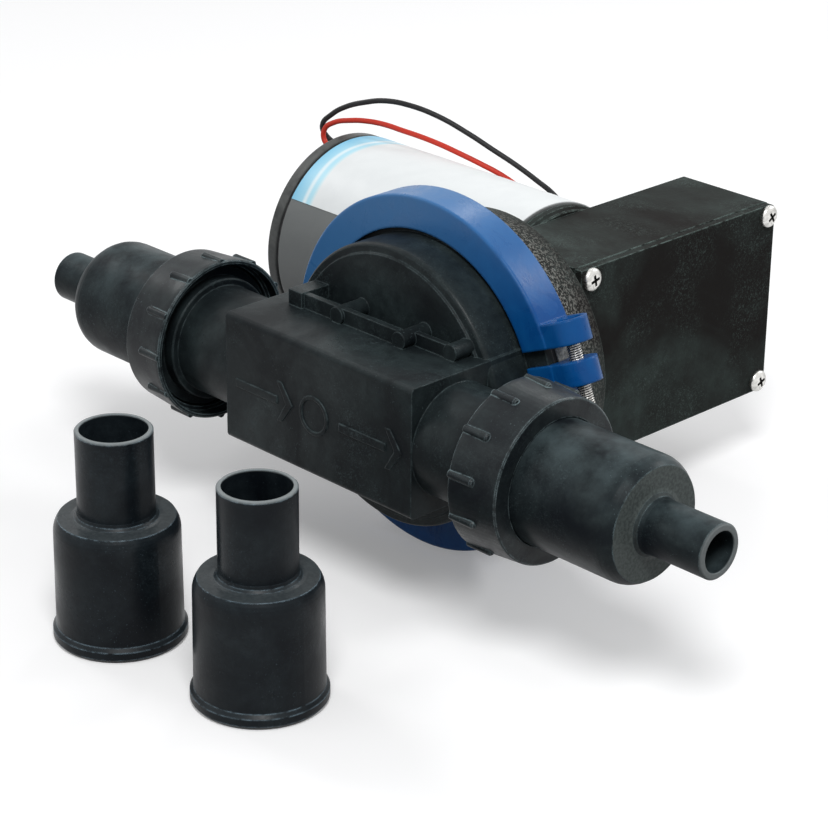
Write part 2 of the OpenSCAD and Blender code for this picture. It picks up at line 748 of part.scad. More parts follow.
module drive_bearings() {
    color("silver") placed() {
        translate([0, crank_y, 0]) bearing(web_x0, web_t - 0.5, shaft_r + running, bearing_r);
        translate([0, crank_y, 0]) bearing(bearing_x1, bearing_w, shaft_r + running, bearing_r);
        translate([0, jack_y, 0]) bearing(cavity_x0 + 2, bearing_w, shaft_r + running, bearing_r);
        translate([0, jack_y, 0]) bearing(bearing_x1, bearing_w, shaft_r + running, bearing_r);
    }
}

// Housing: a round body behind the ring with the drive box growing out of its back

module cover_pilots(r, x0, x1) {
    for (y = [screw_y0, screw_y1], side = [-1, 1])
        translate([0, y, side * screw_z]) along_x(r, x0, x1);
}

module corner_notches(grow) {
    for (side = [0, 1]) mirror([0, 0, side])
        translate([box_x1 - notch_depth - grow, body_rear - 3 * grow, screw_z - 1.5 - grow])
            cube([notch_depth + 2 * grow + 1, notch + 4 * grow, box_h / 2 - screw_z + 3 + grow]);
}

module drive_housing() {
    stud_r = cover_head_d / 2 - 0.2;
    color("#212325") placed() difference() {
        union() {
            difference() {
                union() {
                    turned_y([[0, body_y0], [flange_r, body_y0], [flange_r, body_y1], [neck_r, body_y1],
                        [neck_r, ring_w / 2 + 1], [body_r + 1, body_rear - 1.5], [body_r - 0.5, body_rear],
                        [0, body_rear]]);
                    plate_x(box_x0, cover_x0) polygon(round_rect([bowl_y1 + 1, -box_h / 2],
                        [box_rear, box_h / 2], box_round));
                }
                turned_y([[0, body_y0 - 1], [neck_r - 5, body_y0 - 1], [neck_r - 5, body_y1 + 3],
                    [body_r - box_wall, bowl_y1], [0, bowl_y1]]);
                translate([cavity_x0, bowl_y1 - 1, -cavity_z])
                    cube([box_w, cavity_y1 - bowl_y1 + 1, 2 * cavity_z]);
            }
            difference() {
                union() {
                    cover_pilots(stud_r, cavity_x0 - 1, cover_x0);
                    corner_notches(1.8);
                }
                translate([cover_x0, 0, -box_h]) cube([box_w, 2 * box_rear, 2 * box_h]);
                for (side = [0, 1]) mirror([0, 0, side])
                    translate([0, 0, box_h / 2 - 0.2]) cube([box_w, 2 * box_rear, box_h]);
            }
            translate([web_x0, bowl_y1 - 4, -cavity_z - 1]) cube([web_t - 0.5, 30, 2 * cavity_z + 2]);
            translate([cavity_x0 - 1, bowl_y1 + 22.6, -cavity_z - 1]) cube([web_x0 - cavity_x0 + 2, 2.2, 12]);
            translate([0, jack_y, 0]) along_x(bearing_r + 3, cavity_x0 - 1, cavity_x0 + 2 + bearing_w);
        }
        corner_notches(0);
        cover_pilots(1.7, cover_x0 - 14, cover_x0 + 1);
        translate([0, crank_y, 0]) along_x(bearing_r + seat, web_x0 - 1, web_x0 + web_t + 1);
        translate([0, jack_y, 0]) along_x(bearing_r + seat, cavity_x0 + 2 - seat, cavity_x0 + bearing_w + 3);
        translate([0, motor_y, 0]) {
            along_x(motor_bearing_r + 3.4, box_x0 - 1, cavity_x0 + 1);
            at_flange_screws() along_x(2.2, box_x0 - 1, cavity_x0 + 1);
        }
    }
}

module housing_cover() {
    lug = 3;
    color("#232527") placed() difference() {
        union() {
            plate_x(cover_x0, box_x1) polygon(round_rect([cover_y0, -box_h / 2 + cover_inset],
                [box_rear - cover_inset, box_h / 2 - cover_inset], box_round - cover_inset));
            for (y = [crank_y, jack_y]) translate([0, y, 0])
                along_x(bearing_r + lug, bearing_x1, cover_x0 + 1);
        }
        corner_notches(0);
        cover_pilots(2.1, cover_x0 - 1, box_x1 + 1);
        for (y = [crank_y, jack_y]) translate([0, y, 0])
            along_x(bearing_r + seat, bearing_x1 - 1, bearing_x1 + bearing_w + seat);
    }
}

// Pan-head screws with a cross recess
module cover_screws() {
    head_h = 2.8;
    head_r = cover_head_d / 2 - 0.1;
    cross = 0.9;
    color("silver") placed() for (y = [screw_y0, screw_y1], side = [-1, 1])
        translate([0, y, side * screw_z]) difference() {
            union() {
                along_x(1.65, cover_x0 - 12, box_x1 + eps);
                turned_x([[0, box_x1], [head_r, box_x1], [head_r, box_x1 + 0.9], [head_r - 0.9, box_x1 + 1.9],
                    [head_r - 2.2, box_x1 + head_h - 0.2], [0, box_x1 + head_h]]);
            }
            translate([box_x1 + 1.2, -2.3, -cross / 2]) cube([head_h, 4.6, cross]);
            translate([box_x1 + 1.2, -cross / 2, -2.3]) cube([head_h, cross, 4.6]);
        }
}

// Motor

module at_motor() {
    translate([0, motor_y, 0]) children();
}

// The two long bolts run through the gaps between the magnets
module at_bolts() {
    for (side = [-1, 1]) rotate([bolt_turn, 0, 0]) translate([0, 0, side * bolt_ring]) children();
}

module at_flange_screws() {
    for (a = FLANGE_SCREWS) rotate([a, 0, 0]) translate([0, flange_screw_ring, 0]) children();
}

module motor_can() {
    color("#6f7274") placed() at_motor() turned_x([[can_ri, can_x0], [can_r - 0.6, can_x0],
        [can_r, can_x0 + 0.6], [can_r, flange_x0], [can_ri, flange_x0]]);
}

module rating_label() {
    far = 3 * can_r;
    label_end = 175;
    color("white") placed() at_motor() difference() {
        turned_x([[can_r + seat, can_x0 + 0.8], [can_r + seat + label_t, can_x0 + 0.8],
            [can_r + seat + label_t, flange_x0 - 0.4], [can_r + seat, flange_x0 - 0.4]]);
        plate_x(can_x0 - 1, flange_x0 + 1) polygon([[0, 0], [-far * cos(label_angle), far * sin(label_angle)],
            [-far, 0], [-far, -far], [far, -far], [far, 0], [-far * cos(label_end), far * sin(label_end)]]);
    }
}

module cap_seal() {
    gap = 0.8;
    color("black") placed() at_motor() turned_x([[can_ri, can_x0 - gap], [can_r - 0.5, can_x0 - gap],
        [can_r - 0.5, can_x0 - seat], [can_ri, can_x0 - seat]]);
}

module motor_end_cap() {
    gap = 0.8;
    boss = 3;
    bearing_x0 = cap_x0 + 3;
    color("#5d6062") placed() at_motor() difference() {
        union() {
            turned_x([[0, cap_x0], [can_r - 2, cap_x0], [can_r + 0.2, cap_x0 + 1.6],
                [can_r + 0.2, can_x0 - gap - seat], [can_ri - 3, can_x0 - gap - seat],
                [can_ri - 3, cap_x0 + 3], [0, cap_x0 + 3]]);
            turned_x([[can_ri - 3.5, cap_x0 + 3], [can_ri - 0.2, cap_x0 + 3], [can_ri - 0.2, can_x0 + 4],
                [can_ri - 3.5, can_x0 + 4]]);
            along_x(motor_bearing_r + boss, cap_x0 + 1, bearing_x0 + motor_bearing_w);
        }
        along_x(motor_bearing_r + seat, bearing_x0, bearing_x0 + motor_bearing_w + 1);
        at_bolts() along_x(2.3, cap_x0 - 1, can_x0 + 5);
        lead_exit() along_x(6, cap_x0 - 1, cap_x0 + 5);
    }
}

module lead_exit() {
    translate([0, (BLACK[0][1] + RED[0][1]) / 2 - motor_y, BLACK[0][2]]) children();
}

module lead_grommet() {
    wall = 3;
    color("#101010") placed() at_motor() lead_exit() difference() {
        turned_x([[0, BLACK[0][0]], [4.8, BLACK[0][0]], [6.8, cap_x0 - 0.9], [6.8, cap_x0 - seat],
            [5.9, cap_x0 - seat], [5.9, cap_x0 + wall], [0, cap_x0 + wall]]);
        for (side = [-1, 1]) translate([0, side * (BLACK[0][1] - RED[0][1]) / 2, 0])
            along_x(lead_d / 2, BLACK[0][0] + 1.2, cap_x0 + wall + 1);
    }
}

module motor_flange() {
    boss = 2.6;
    bearing_x0 = box_x0 - motor_bearing_w;
    color("#191b1d") placed() at_motor() difference() {
        union() {
            turned_x([[0, flange_x0 + seat], [can_r - 1.2, flange_x0 + seat], [can_r - 1.2, flange_x0 + 1.6],
                [can_r - 0.2, flange_x0 + 1.6], [can_r - 0.2, box_x0 - 2.2], [can_r - 1.4, box_x0 - 1],
                [can_r - 1.4, box_x0 - seat], [0, box_x0 - seat]]);
            turned_x([[can_ri - 8, flange_x0 - 9], [can_ri - 0.2, flange_x0 - 9],
                [can_ri - 0.2, flange_x0 + 1], [can_ri - 8, flange_x0 + 1]]);
            along_x(motor_bearing_r + boss, bearing_x0 - 4, cavity_x0 - 0.3);
        }
        along_x(motor_bearing_r + seat, bearing_x0, cavity_x0 + 1);
        along_x(motor_shaft_r + 0.6, bearing_x0 - 5, cavity_x0);
        at_bolts() along_x(2.1, flange_x0 - 10, flange_x0 + 3);
        at_flange_screws() along_x(2.1, flange_x0 + 1, box_x0 + 1);
    }
}

module flange_screws() {
    color("silver") placed() at_motor() at_flange_screws() {
        along_x(2, flange_x0 + 1.4, cavity_x0 + eps);
        along_x(3.5, cavity_x0, cavity_x0 + 1.8);
    }
}

module through_bolts() {
    color("silver") placed() at_motor() at_bolts() {
        along_x(2, cap_x0 - eps, flange_x0 + 2);
        translate([cap_x0 - 3, 0, 0]) rotate([0, 90, 0]) cylinder(r = 3.9, h = 3, $fn = 6);
    }
}

module magnets() {
    slot = 15;
    x0 = core_x0 - 4;
    x1 = core_x1 + 4;
    color("#3a3a3c") placed() at_motor() rotate([bolt_turn, 0, 0]) difference() {
        turned_x([[magnet_r - magnet_t, x0], [magnet_r, x0], [magnet_r, x1], [magnet_r - magnet_t, x1]]);
        translate([x0 - 1, -slot, -2 * can_r]) cube([x1 - x0 + 2, 2 * slot, 4 * can_r]);
    }
}

// Laminated core with open slots
module armature_core() {
    slot_r = 2.6;
    color("#7a7d80") placed() at_motor() difference() {
        along_x(core_r, core_x0, core_x1);
        along_x(motor_shaft_r + seat, core_x0 - 1, core_x1 + 1);
        for (i = [0:slots - 1]) rotate([360 * i / slots, 0, 0]) {
            translate([0, core_r - 5, 0]) along_x(slot_r, core_x0 - 1, core_x1 + 1);
            translate([core_x0 - 1, core_r - 5, -0.8]) cube([core_x1 - core_x0 + 2, 8, 1.6]);
        }
    }
}

module windings() {
    end_w = 7;
    color("#b5652b") placed() at_motor() {
        for (x = [core_x0 - end_w - 0.1, core_x1 + 0.1])
            turned_x([[9, x + 1], [11, x], [core_r - 6, x], [core_r - 2.6, x + 3],
                [core_r - 2.6, x + end_w - 1], [core_r - 4, x + end_w], [9, x + end_w]]);
        for (i = [0:slots - 1]) rotate([360 * i / slots, 0, 0])
            translate([0, core_r - 5, 0]) along_x(2.2, core_x0 - 1, core_x1 + 1);
    }
}

module commutator() {
    bars = 24;
    comm_r = 11;
    x0 = can_x0 + 5;
    x1 = core_x0 - 8;
    color("#c47a3a") placed() at_motor() difference() {
        turned_x([[motor_shaft_r + seat, x0], [comm_r, x0], [comm_r, x1 - 1.5], [comm_r + 1.2, x1 - 1.5],
            [comm_r + 1.2, x1], [motor_shaft_r + seat, x1]]);
        for (i = [0:bars - 1]) rotate([360 * i / bars, 0, 0])
            translate([x0 - 1, comm_r - 0.8, -0.2]) cube([x1 - x0 + 2, 4, 0.4]);
    }
}

module brushes() {
    comm_r = 11;
    x0 = can_x0 + 6;
    color("#2c2c2e") placed() at_motor() for (turn = [0, 180]) rotate([bolt_turn + turn, 0, 0]) {
        difference() {
            translate([x0, comm_r + 2.4, -5]) cube([7, can_ri - comm_r - 6.2, 10]);
            translate([x0 + 1, comm_r, -4]) cube([5, can_ri, 8]);
        }
        translate([x0 + 1 + seat, comm_r + 0.3, -4 + seat]) cube([5 - 2 * seat, 12, 8 - 2 * seat]);
    }
}

module motor_shaft() {
    color("silver") placed() at_motor() along_x(motor_shaft_r, shaft_x0, hub_x1 + 0.3);
}

module motor_bearings() {
    color("silver") placed() at_motor() {
        bearing(cap_x0 + 3, motor_bearing_w, motor_shaft_r + running, motor_bearing_r);
        bearing(box_x0 - motor_bearing_w, motor_bearing_w, motor_shaft_r + running, motor_bearing_r);
    }
}

// A lead as one tube along its route, with a ring square to the route at each point

function unit(v) = v / norm(v);
function heading(p, i) = unit(p[min(i + 1, len(p) - 1)] - p[max(i - 1, 0)]);

module lead(route, r, sides = 8) {
    n = len(route);
    up = [0.2, 0.9, 0.1];
    points = [for (i = [0:n - 1]) let (t = heading(route, i), u = unit(cross(t, up)), v = cross(t, u))
        for (k = [0:sides - 1]) route[i] + r * (cos(360 * k / sides) * u + sin(360 * k / sides) * v)];
    walls = [for (i = [0:n - 2], k = [0:sides - 1]) let (a = i * sides + k, b = i * sides + (k + 1) % sides)
        each [[a, b, b + sides], [a, b + sides, a + sides]]];
    ends = [[for (k = [sides - 1:-1:0]) k], [for (k = [0:sides - 1]) (n - 1) * sides + k]];
    polyhedron(points, concat(walls, ends));
}

module red_lead() {
    color("#c8332a") placed() lead(RED, lead_d / 2);
}

module black_lead() {
    color("#202020") placed() lead(BLACK, lead_d / 2);
}

// Mounting saddle under the motor, on four rubber mounts

module at_feet() {
    for (dx = [-1, 1], dy = [-1, 1])
        translate([-saddle_x + dx * hole_pitch_x / 2, motor_y + dy * hole_pitch_y / 2, 0]) children();
}

module at_cradles() {
    reach = hole_pitch_x / 2 - foot_d / 2 - cradle_w / 2;
    for (side = [-1, 1]) translate([-saddle_x + side * reach, motor_y, 0]) children();
}

module mounting_saddle() {
    cradle_r = can_r + 0.3;
    half_angle = 34;
    base_y = cradle_r * sin(half_angle) + 1;
    cradle = concat(
        arc([0, 0], cradle_r + cradle_t, 270 + half_angle, 270 + half_angle - 1, 1),
        arc([0, 0], cradle_r, 270 + half_angle, 270 - half_angle, 16),
        arc([0, 0], cradle_r + cradle_t, 270 - half_angle, 270 - half_angle - 1, 1),
        [[-base_y, saddle_z1 - 1], [base_y, saddle_z1 - 1]]);
    color("#2a2c2f") placed() difference() {
        union() {
            translate([-saddle_x, motor_y, saddle_z0]) linear_extrude(plate_th)
                polygon(round_rect([-saddle_l / 2, -saddle_b / 2], [saddle_l / 2, saddle_b / 2], 6));
            at_cradles() plate_x(-cradle_w / 2, cradle_w / 2) polygon(cradle);
        }
        at_feet() translate([0, 0, saddle_z0 - 1]) cylinder(r = foot_d / 2 - 3, h = plate_th + 2);
        at_cradles() translate([0, 0, saddle_z0 - 1]) {
            cylinder(r = 2.2, h = 40);
            cylinder(r = 4.6, h = 1 + plate_th - 1.4);
        }
    }
}

module saddle_screws() {
    color("silver") placed() at_cradles() translate([0, 0, saddle_z0]) {
        translate([0, 0, 0.2]) cylinder(r = 4, h = plate_th - 1.6 - seat);
        translate([0, 0, 0.4]) cylinder(r = 2, h = -can_r - saddle_z0 - 0.4 - 0.2);
    }
}

// Rubber mounts with a waist in the plate and a hole for the bolt
module rubber_mounts() {
    waist_r = foot_d / 2 - 3 - seat;
    color("#141414") placed() at_feet() translate([0, 0, floor_z]) rotate_extrude() polygon([
        [bolt_hole_d / 2, 0], [foot_d / 2 - 1, 0], [foot_d / 2, 1], [foot_d / 2, foot_h - 1],
        [foot_d / 2 - 1, foot_h - seat], [waist_r, foot_h - seat], [waist_r, foot_h + plate_th + seat],
        [foot_d / 2 - 0.5, foot_h + plate_th + seat], [foot_d / 2 - 0.5, foot_h + plate_th + 2],
        [foot_d / 2 - 2.5, foot_h + plate_th + 4], [bolt_hole_d / 2, foot_h + plate_th + 4]]);
}

// Loose hose tails that stand beside the pump

module spare_tail() {
    body_r0 = fitting_r - 0.2;
    rim_r = spare_rim_d / 2;
    chamfer = 5;
    drop = 1.6;
    step = 2.4;
    tail_r1 = spare_tail_d / 2;
    inner_r = body_r0 - fitting_wall;
    color("#222427") placed() translate([0, 0, floor_z]) rotate_extrude() polygon([
        [inner_r, 0], [rim_r - 1.2, 0], [rim_r, 1.4], [rim_r, spare_rim_h - 1.4], [rim_r - 1.2, spare_rim_h],
        [body_r0, spare_rim_h], [body_r0 - 0.3, spare_body_h - chamfer],
        each shoulder(body_r0 - 0.3, spare_body_h, chamfer, drop), each root(tail_r1, spare_body_h, step),
        [tail_r1, spare_h - 0.5], [tail_r1 - 0.5, spare_h], [tail_r1 - spare_wall, spare_h],
        [tail_r1 - spare_wall, spare_body_h - 2], [inner_r, spare_body_h - chamfer - 4]]);
}

spare_left = [-22, -130];
spare_right = [44, -124];

module spare_tail_left() {
    translate([spare_left[0], spare_left[1], 0]) spare_tail();
}

module spare_tail_right() {
    translate([spare_right[0], spare_right[1], 0]) spare_tail();
}

pump_head();
clamp_ring();
clamp_screw();
diaphragm();
front_plate();
rear_plate();
diaphragm_screw();
connecting_rod();
rod_bearing();
crankshaft();
crank_pulley();
jackshaft();
jackshaft_pulley();
drive_bearings();
crank_belt();
motor_belt();
motor_pulley();
drive_housing();
housing_cover();
cover_screws();
inlet_valve();
outlet_valve();
inlet_nut();
outlet_nut();
inlet_tail();
outlet_tail();
motor_can();
rating_label();
motor_end_cap();
cap_seal();
motor_flange();
flange_screws();
through_bolts();
magnets();
armature_core();
windings();
commutator();
brushes();
motor_shaft();
motor_bearings();
lead_grommet();
red_lead();
black_lead();
mounting_saddle();
saddle_screws();
rubber_mounts();
spare_tail_left();
spare_tail_right();
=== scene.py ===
from math import cos, radians, sin, tau

import bmesh
import bpy
from mathutils import Matrix, Vector


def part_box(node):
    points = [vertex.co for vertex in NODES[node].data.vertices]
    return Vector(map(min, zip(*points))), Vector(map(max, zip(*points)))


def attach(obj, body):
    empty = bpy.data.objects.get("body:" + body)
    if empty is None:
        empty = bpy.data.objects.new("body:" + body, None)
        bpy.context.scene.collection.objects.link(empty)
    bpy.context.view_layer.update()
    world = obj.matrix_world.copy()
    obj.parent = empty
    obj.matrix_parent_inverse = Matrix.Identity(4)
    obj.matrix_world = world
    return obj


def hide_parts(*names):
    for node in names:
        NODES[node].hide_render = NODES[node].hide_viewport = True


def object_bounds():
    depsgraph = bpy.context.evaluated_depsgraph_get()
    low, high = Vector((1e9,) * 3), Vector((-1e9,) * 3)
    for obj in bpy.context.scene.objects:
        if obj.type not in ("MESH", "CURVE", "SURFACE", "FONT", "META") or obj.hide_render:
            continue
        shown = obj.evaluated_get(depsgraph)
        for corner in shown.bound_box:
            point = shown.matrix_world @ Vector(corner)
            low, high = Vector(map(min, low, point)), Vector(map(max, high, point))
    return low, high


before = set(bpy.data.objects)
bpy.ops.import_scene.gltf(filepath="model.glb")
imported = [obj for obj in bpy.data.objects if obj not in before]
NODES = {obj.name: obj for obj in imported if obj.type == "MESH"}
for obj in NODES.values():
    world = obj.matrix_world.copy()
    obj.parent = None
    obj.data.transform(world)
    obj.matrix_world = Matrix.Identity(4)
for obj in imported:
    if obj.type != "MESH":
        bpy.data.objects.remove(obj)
cad_low, cad_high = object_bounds()
MM = 0.001


# The camera stands in front of the pump, to its right and above it, with a long lens.
# Its angles and distance were found from the hose tails, nuts and clamp ring in the photograph,
# measured from the centre of the clamp ring.
ring_low, ring_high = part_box("clamp_ring")
seal_low, seal_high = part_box("diaphragm")
ring_centre = Vector((
    (seal_low[0] + seal_high[0]) / 2,
    (ring_low[1] + ring_high[1]) / 2,
    (seal_low[2] + seal_high[2]) / 2,
))
azimuth = radians(45.633)
elevation = radians(23.775)
roll = radians(0.650)
camera_distance = 966.5 * MM
aim_right = 8.29 * MM
aim_up = 16.05 * MM
focal_px = 2679.2
frame_px = 828
near_clip = 50 * MM

level_right = Vector((cos(azimuth), sin(azimuth), 0))
forward = Vector((-sin(azimuth) * cos(elevation), cos(azimuth) * cos(elevation), -sin(elevation)))
level_up = level_right.cross(forward)
right = level_right * cos(roll) + level_up * sin(roll)
up = level_up * cos(roll) - level_right * sin(roll)
camera_data = bpy.data.cameras.new("camera")
camera_data.sensor_width = 36
camera_data.lens = focal_px / frame_px * camera_data.sensor_width
camera_data.clip_start = near_clip
camera = bpy.data.objects.new("camera", camera_data)
place = ring_centre - right * aim_right - up * aim_up - forward * camera_distance
camera.matrix_world = Matrix.Translation(place) @ Matrix((right, up, -forward)).transposed().to_4x4()
bpy.context.scene.collection.objects.link(camera)
bpy.context.scene.camera = camera
bpy.context.scene.view_settings.view_transform = "Standard"


# The studio: a white table that runs out of sight in a pale room, lit by a large lamp above the
# camera and one behind the pump, and by three weaker ones on its left. The table takes the pump's
# soft shadow, and throws back less light onto the pump than it shows.
TABLE_SIZE = 12.0
TABLE_SEEN = (0.86, 0.86, 0.865, 1)
TABLE_BOUNCE = (0.14, 0.14, 0.145, 1)
TABLE_GLOW = 0.21
ROOM_SEEN = (1, 1, 1, 1)
ROOM_LIGHT = (0.375, 0.378, 0.382, 1)
LAMPS = {  # place from the ring's centre and width in metres, then watts
    "lamp above the camera": ((0.60, -0.60, 1.1), 0.5, 11.4),
    "back lamp": ((0.40, 1.20, 0.9), 0.5, 6.9),
    "left lamp": ((-1.20, -0.10, 0.9), 0.45, 2.6),
    "edge lamp": ((-0.60, 0.90, 1.0), 0.25, 1.3),
    "front left lamp": ((-0.90, -1.10, 0.8), 0.7, 1.1),
}


def add(tree, kind, inputs=None, **settings):
    """A shader node. Each input is linked where a socket is given, and set where a value is."""
    made = tree.nodes.new("ShaderNode" + kind)
    for name, value in settings.items():
        setattr(made, name, value)
    for socket, value in (inputs or {}).items():
        if isinstance(value, bpy.types.NodeSocket):
            tree.links.new(value, made.inputs[socket])
        else:
            made.inputs[socket].default_value = value
    return made


def seen_directly(tree):
    """1 for what the camera, a reflection or a glass sees, and 0 for what lights the object."""
    path = add(tree, "LightPath")
    seen = add(tree, "Math", {0: path.outputs["Is Camera Ray"], 1: path.outputs["Is Glossy Ray"]},
               operation="MAXIMUM")
    return add(tree, "Math", {0: seen.outputs[0], 1: path.outputs["Is Transmission Ray"]},
               operation="MAXIMUM").outputs[0]


table_mesh = bpy.data.meshes.new("table")
corners = [(x * TABLE_SIZE / 2, y * TABLE_SIZE / 2, 0) for x, y in ((-1, -1), (1, -1), (1, 1), (-1, 1))]
table_mesh.from_pydata(corners, [], [(0, 1, 2, 3)])
table = bpy.data.objects.new("table", table_mesh)
table.location.z = cad_low[2]
bpy.context.scene.collection.objects.link(table)

table_white = bpy.data.materials.new("white table")
table_white.use_nodes = True
tree = table_white.node_tree
tree.nodes.clear()
seen = seen_directly(tree)
paint = add(tree, "Mix", {0: seen, 6: TABLE_BOUNCE, 7: TABLE_SEEN}, data_type="RGBA")
matt = add(tree, "BsdfDiffuse", {"Color": paint.outputs[2]})
glow = add(tree, "Emission", {"Color": (1, 1, 1, 1), "Strength": TABLE_GLOW})
dark = add(tree, "Emission", {"Strength": 0})
lift = add(tree, "MixShader", {0: seen, 1: dark.outputs[0], 2: glow.outputs[0]})
both = add(tree, "AddShader", {0: matt.outputs[0], 1: lift.outputs[0]})
add(tree, "OutputMaterial", {"Surface": both.outputs[0]})
table_mesh.materials.append(table_white)

world = bpy.data.worlds.new("pale room")
world.use_nodes = True
bpy.context.scene.world = world
tree = world.node_tree
tree.nodes.clear()
room = add(tree, "Mix", {0: seen_directly(tree), 6: ROOM_LIGHT, 7: ROOM_SEEN}, data_type="RGBA")
backdrop = add(tree, "Background", {"Color": room.outputs[2], "Strength": 1})
add(tree, "OutputWorld", {"Surface": backdrop.outputs[0]})

for name, (place, width, watts) in LAMPS.items():
    lamp = bpy.data.lights.new(name, "AREA")
    lamp.shape = "DISK"
    lamp.size = width
    lamp.energy = watts
    stand = bpy.data.objects.new(name, lamp)
    stand.location = ring_centre + Vector(place)
    stand.rotation_euler = (ring_centre - stand.location).to_track_quat("-Z", "Y").to_euler()
    bpy.context.scene.collection.objects.link(stand)


# The two motor leads: soft wire in a rubbery sleeve, red and black, each with a bare tinned end.
# They leave a grommet in the motor's end cap, arch over the motor and lie down behind it.
# The points are the routes of the part's solids, in millimetres from the centre of the clamp ring.
BLACK_ROUTE = (
    (-135, 82, 33), (-142, 82, 33), (-147, 81, 35), (-148, 79, 40), (-143, 80, 46), (-137, 82, 50),
    (-128, 84, 53.5), (-118, 86, 56), (-107, 89, 56), (-96, 94, 53), (-84, 100, 47), (-75, 104, 42),
    (-66, 108, 37), (-58, 112, 31.5), (-52, 116, 26), (-46, 119, 18), (-42, 121, 8), (-39, 122, -4),
    (-37, 123, -16), (-36, 124, -28), (-36, 125, -40), (-37, 128, -51), (-41, 133, -60),
    (-48, 139, -65), (-57, 144, -66.6), (-67, 147, -66.6), (-78, 148, -66.6), (-89, 147, -66.6),
    (-99, 144, -66.6),
)
RED_ROUTE = (
    (-135, 77, 33), (-140, 77, 33), (-144.5, 77, 35), (-145, 77.5, 39.5), (-141, 79, 43),
    (-134, 81.5, 45), (-126, 84, 46), (-118, 86, 46), (-110, 88, 45), (-102, 90, 44), (-93, 93, 42),
    (-85, 96, 39.5), (-77, 99.5, 36.5), (-69.5, 103.8, 32.7), (-64, 108.6, 27.4), (-60, 113, 20.4),
    (-57, 116.6, 11.2), (-55, 118.4, 0), (-53, 119, -11), (-52, 119.6, -22), (-52, 120.8, -33),
    (-53, 122.5, -44), (-56, 126.5, -54), (-61, 131.5, -62), (-68, 136, -66), (-77, 138.5, -66.6),
    (-87, 138.5, -66.6), (-97, 136, -66.6), (-106, 132, -66.6),
)
LEAD_DIAMETER = 2.2 * MM
STRAND_DIAMETER = 0.42 * MM
STRANDS_ROUND = 6
STRAND_KNOTS = 7
KNOT_STEP = 0.8
KNOTS_A_TURN = 14
SPREAD_A_KNOT = 0.05
BLACK_SLEEVE = (0.012, 0.012, 0.013)
RED_SLEEVE = (0.62, 0.038, 0.018)


def in_frame(point):
    return ring_centre + Vector(point) * MM


def bare_strands(name, route):
    """Tinned strands, six twisted round a seventh, that stand out of the cut sleeve at the free end."""
    end = in_frame(route[-1])
    along = (end - in_frame(route[-2])).normalized()
    aside = along.cross(Vector((0, 0, 1))).normalized()
    over = aside.cross(along)
    curve = bpy.data.curves.new(name, "CURVE")
    curve.dimensions = "3D"
    curve.bevel_depth = 1
    curve.bevel_resolution = 2
    for strand in range(STRANDS_ROUND + 1):
        spoke = 0 if strand == STRANDS_ROUND else STRAND_DIAMETER * 0.98
        spline = curve.splines.new("POLY")
        spline.points.add(STRAND_KNOTS - 1)
        for step, knot in enumerate(spline.points):
            turn = tau * (strand / STRANDS_ROUND + step / KNOTS_A_TURN)
            spread = spoke * (1 + SPREAD_A_KNOT * step)
            forth = (step * KNOT_STEP - KNOT_STEP) * MM
            place = end + along * forth + aside * spread * cos(turn) + over * spread * sin(turn)
            knot.co = (*place, 1)
            knot.radius = STRAND_DIAMETER / 2
    piece = bpy.data.objects.new(name, curve)
    bpy.context.scene.collection.objects.link(piece)
    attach(piece, "pump")
    return piece


def lead(name, route):
    curve = bpy.data.curves.new(name, "CURVE")
    curve.dimensions = "3D"
    curve.bevel_depth = 1
    curve.bevel_resolution = 4
    curve.resolution_u = 6
    curve.use_fill_caps = True
    spline = curve.splines.new("BEZIER")
    spline.bezier_points.add(len(route) - 1)
    for knot, point in zip(spline.bezier_points, route):
        knot.co = in_frame(point)
        knot.handle_left_type = "AUTO"
        knot.handle_right_type = "AUTO"
        knot.radius = LEAD_DIAMETER / 2
    piece = bpy.data.objects.new(name, curve)
    bpy.context.scene.collection.objects.link(piece)
    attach(piece, "pump")
    return piece


black_strands = bare_strands("black_lead_strands", BLACK_ROUTE)
black_lead = lead("black_motor_lead", BLACK_ROUTE)
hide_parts("black_lead")
red_strands = bare_strands("red_lead_strands", RED_ROUTE)
red_lead = lead("red_motor_lead", RED_ROUTE)
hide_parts("red_lead")


def new_material(name):
    material = bpy.data.materials.new(name)
    material.use_nodes = True
    return material, material.node_tree, material.node_tree.nodes["Principled BSDF"]


def sleeve(name, colour):
    """A rubbery sleeve that is a little paler where dust lies on it."""
    material, tree, shader = new_material(name)
    place = add(tree, "TexCoord").outputs["Object"]
    dusty = add(tree, "TexNoise", {"Vector": place, "Scale": 240.0, "Detail": 3.0})
    pale = tuple(c * 0.8 + 0.025 for c in colour)
    mixed = add(tree, "Mix", {0: dusty.outputs["Fac"], 6: (*colour, 1), 7: (*pale, 1)}, data_type="RGBA")
    tree.links.new(mixed.outputs[2], shader.inputs["Base Color"])
    shader.inputs["Roughness"].default_value = 0.42
    shader.inputs["Specular IOR Level"].default_value = 0.16
    return material


black_lead.data.materials.append(sleeve("black lead sleeve", BLACK_SLEEVE))
red_lead.data.materials.append(sleeve("red lead sleeve", RED_SLEEVE))


# The head is one hollow moulding of black glass-filled plastic with a fine spark-eroded grain.
# It scatters light unevenly where the melt flowed. Its corners are painted pale, rubbed wear with
# a painted highlight, and what faces up a little paler, dust with a painted sheen.
HEAD_BLACK = (0.0045, 0.0065, 0.0080)
HEAD_PALE = (0.028, 0.039, 0.041)
MOULD_CORNER = 0.6 * MM
SCUFF_PALER = 2.6
SPECK_PALER = 5


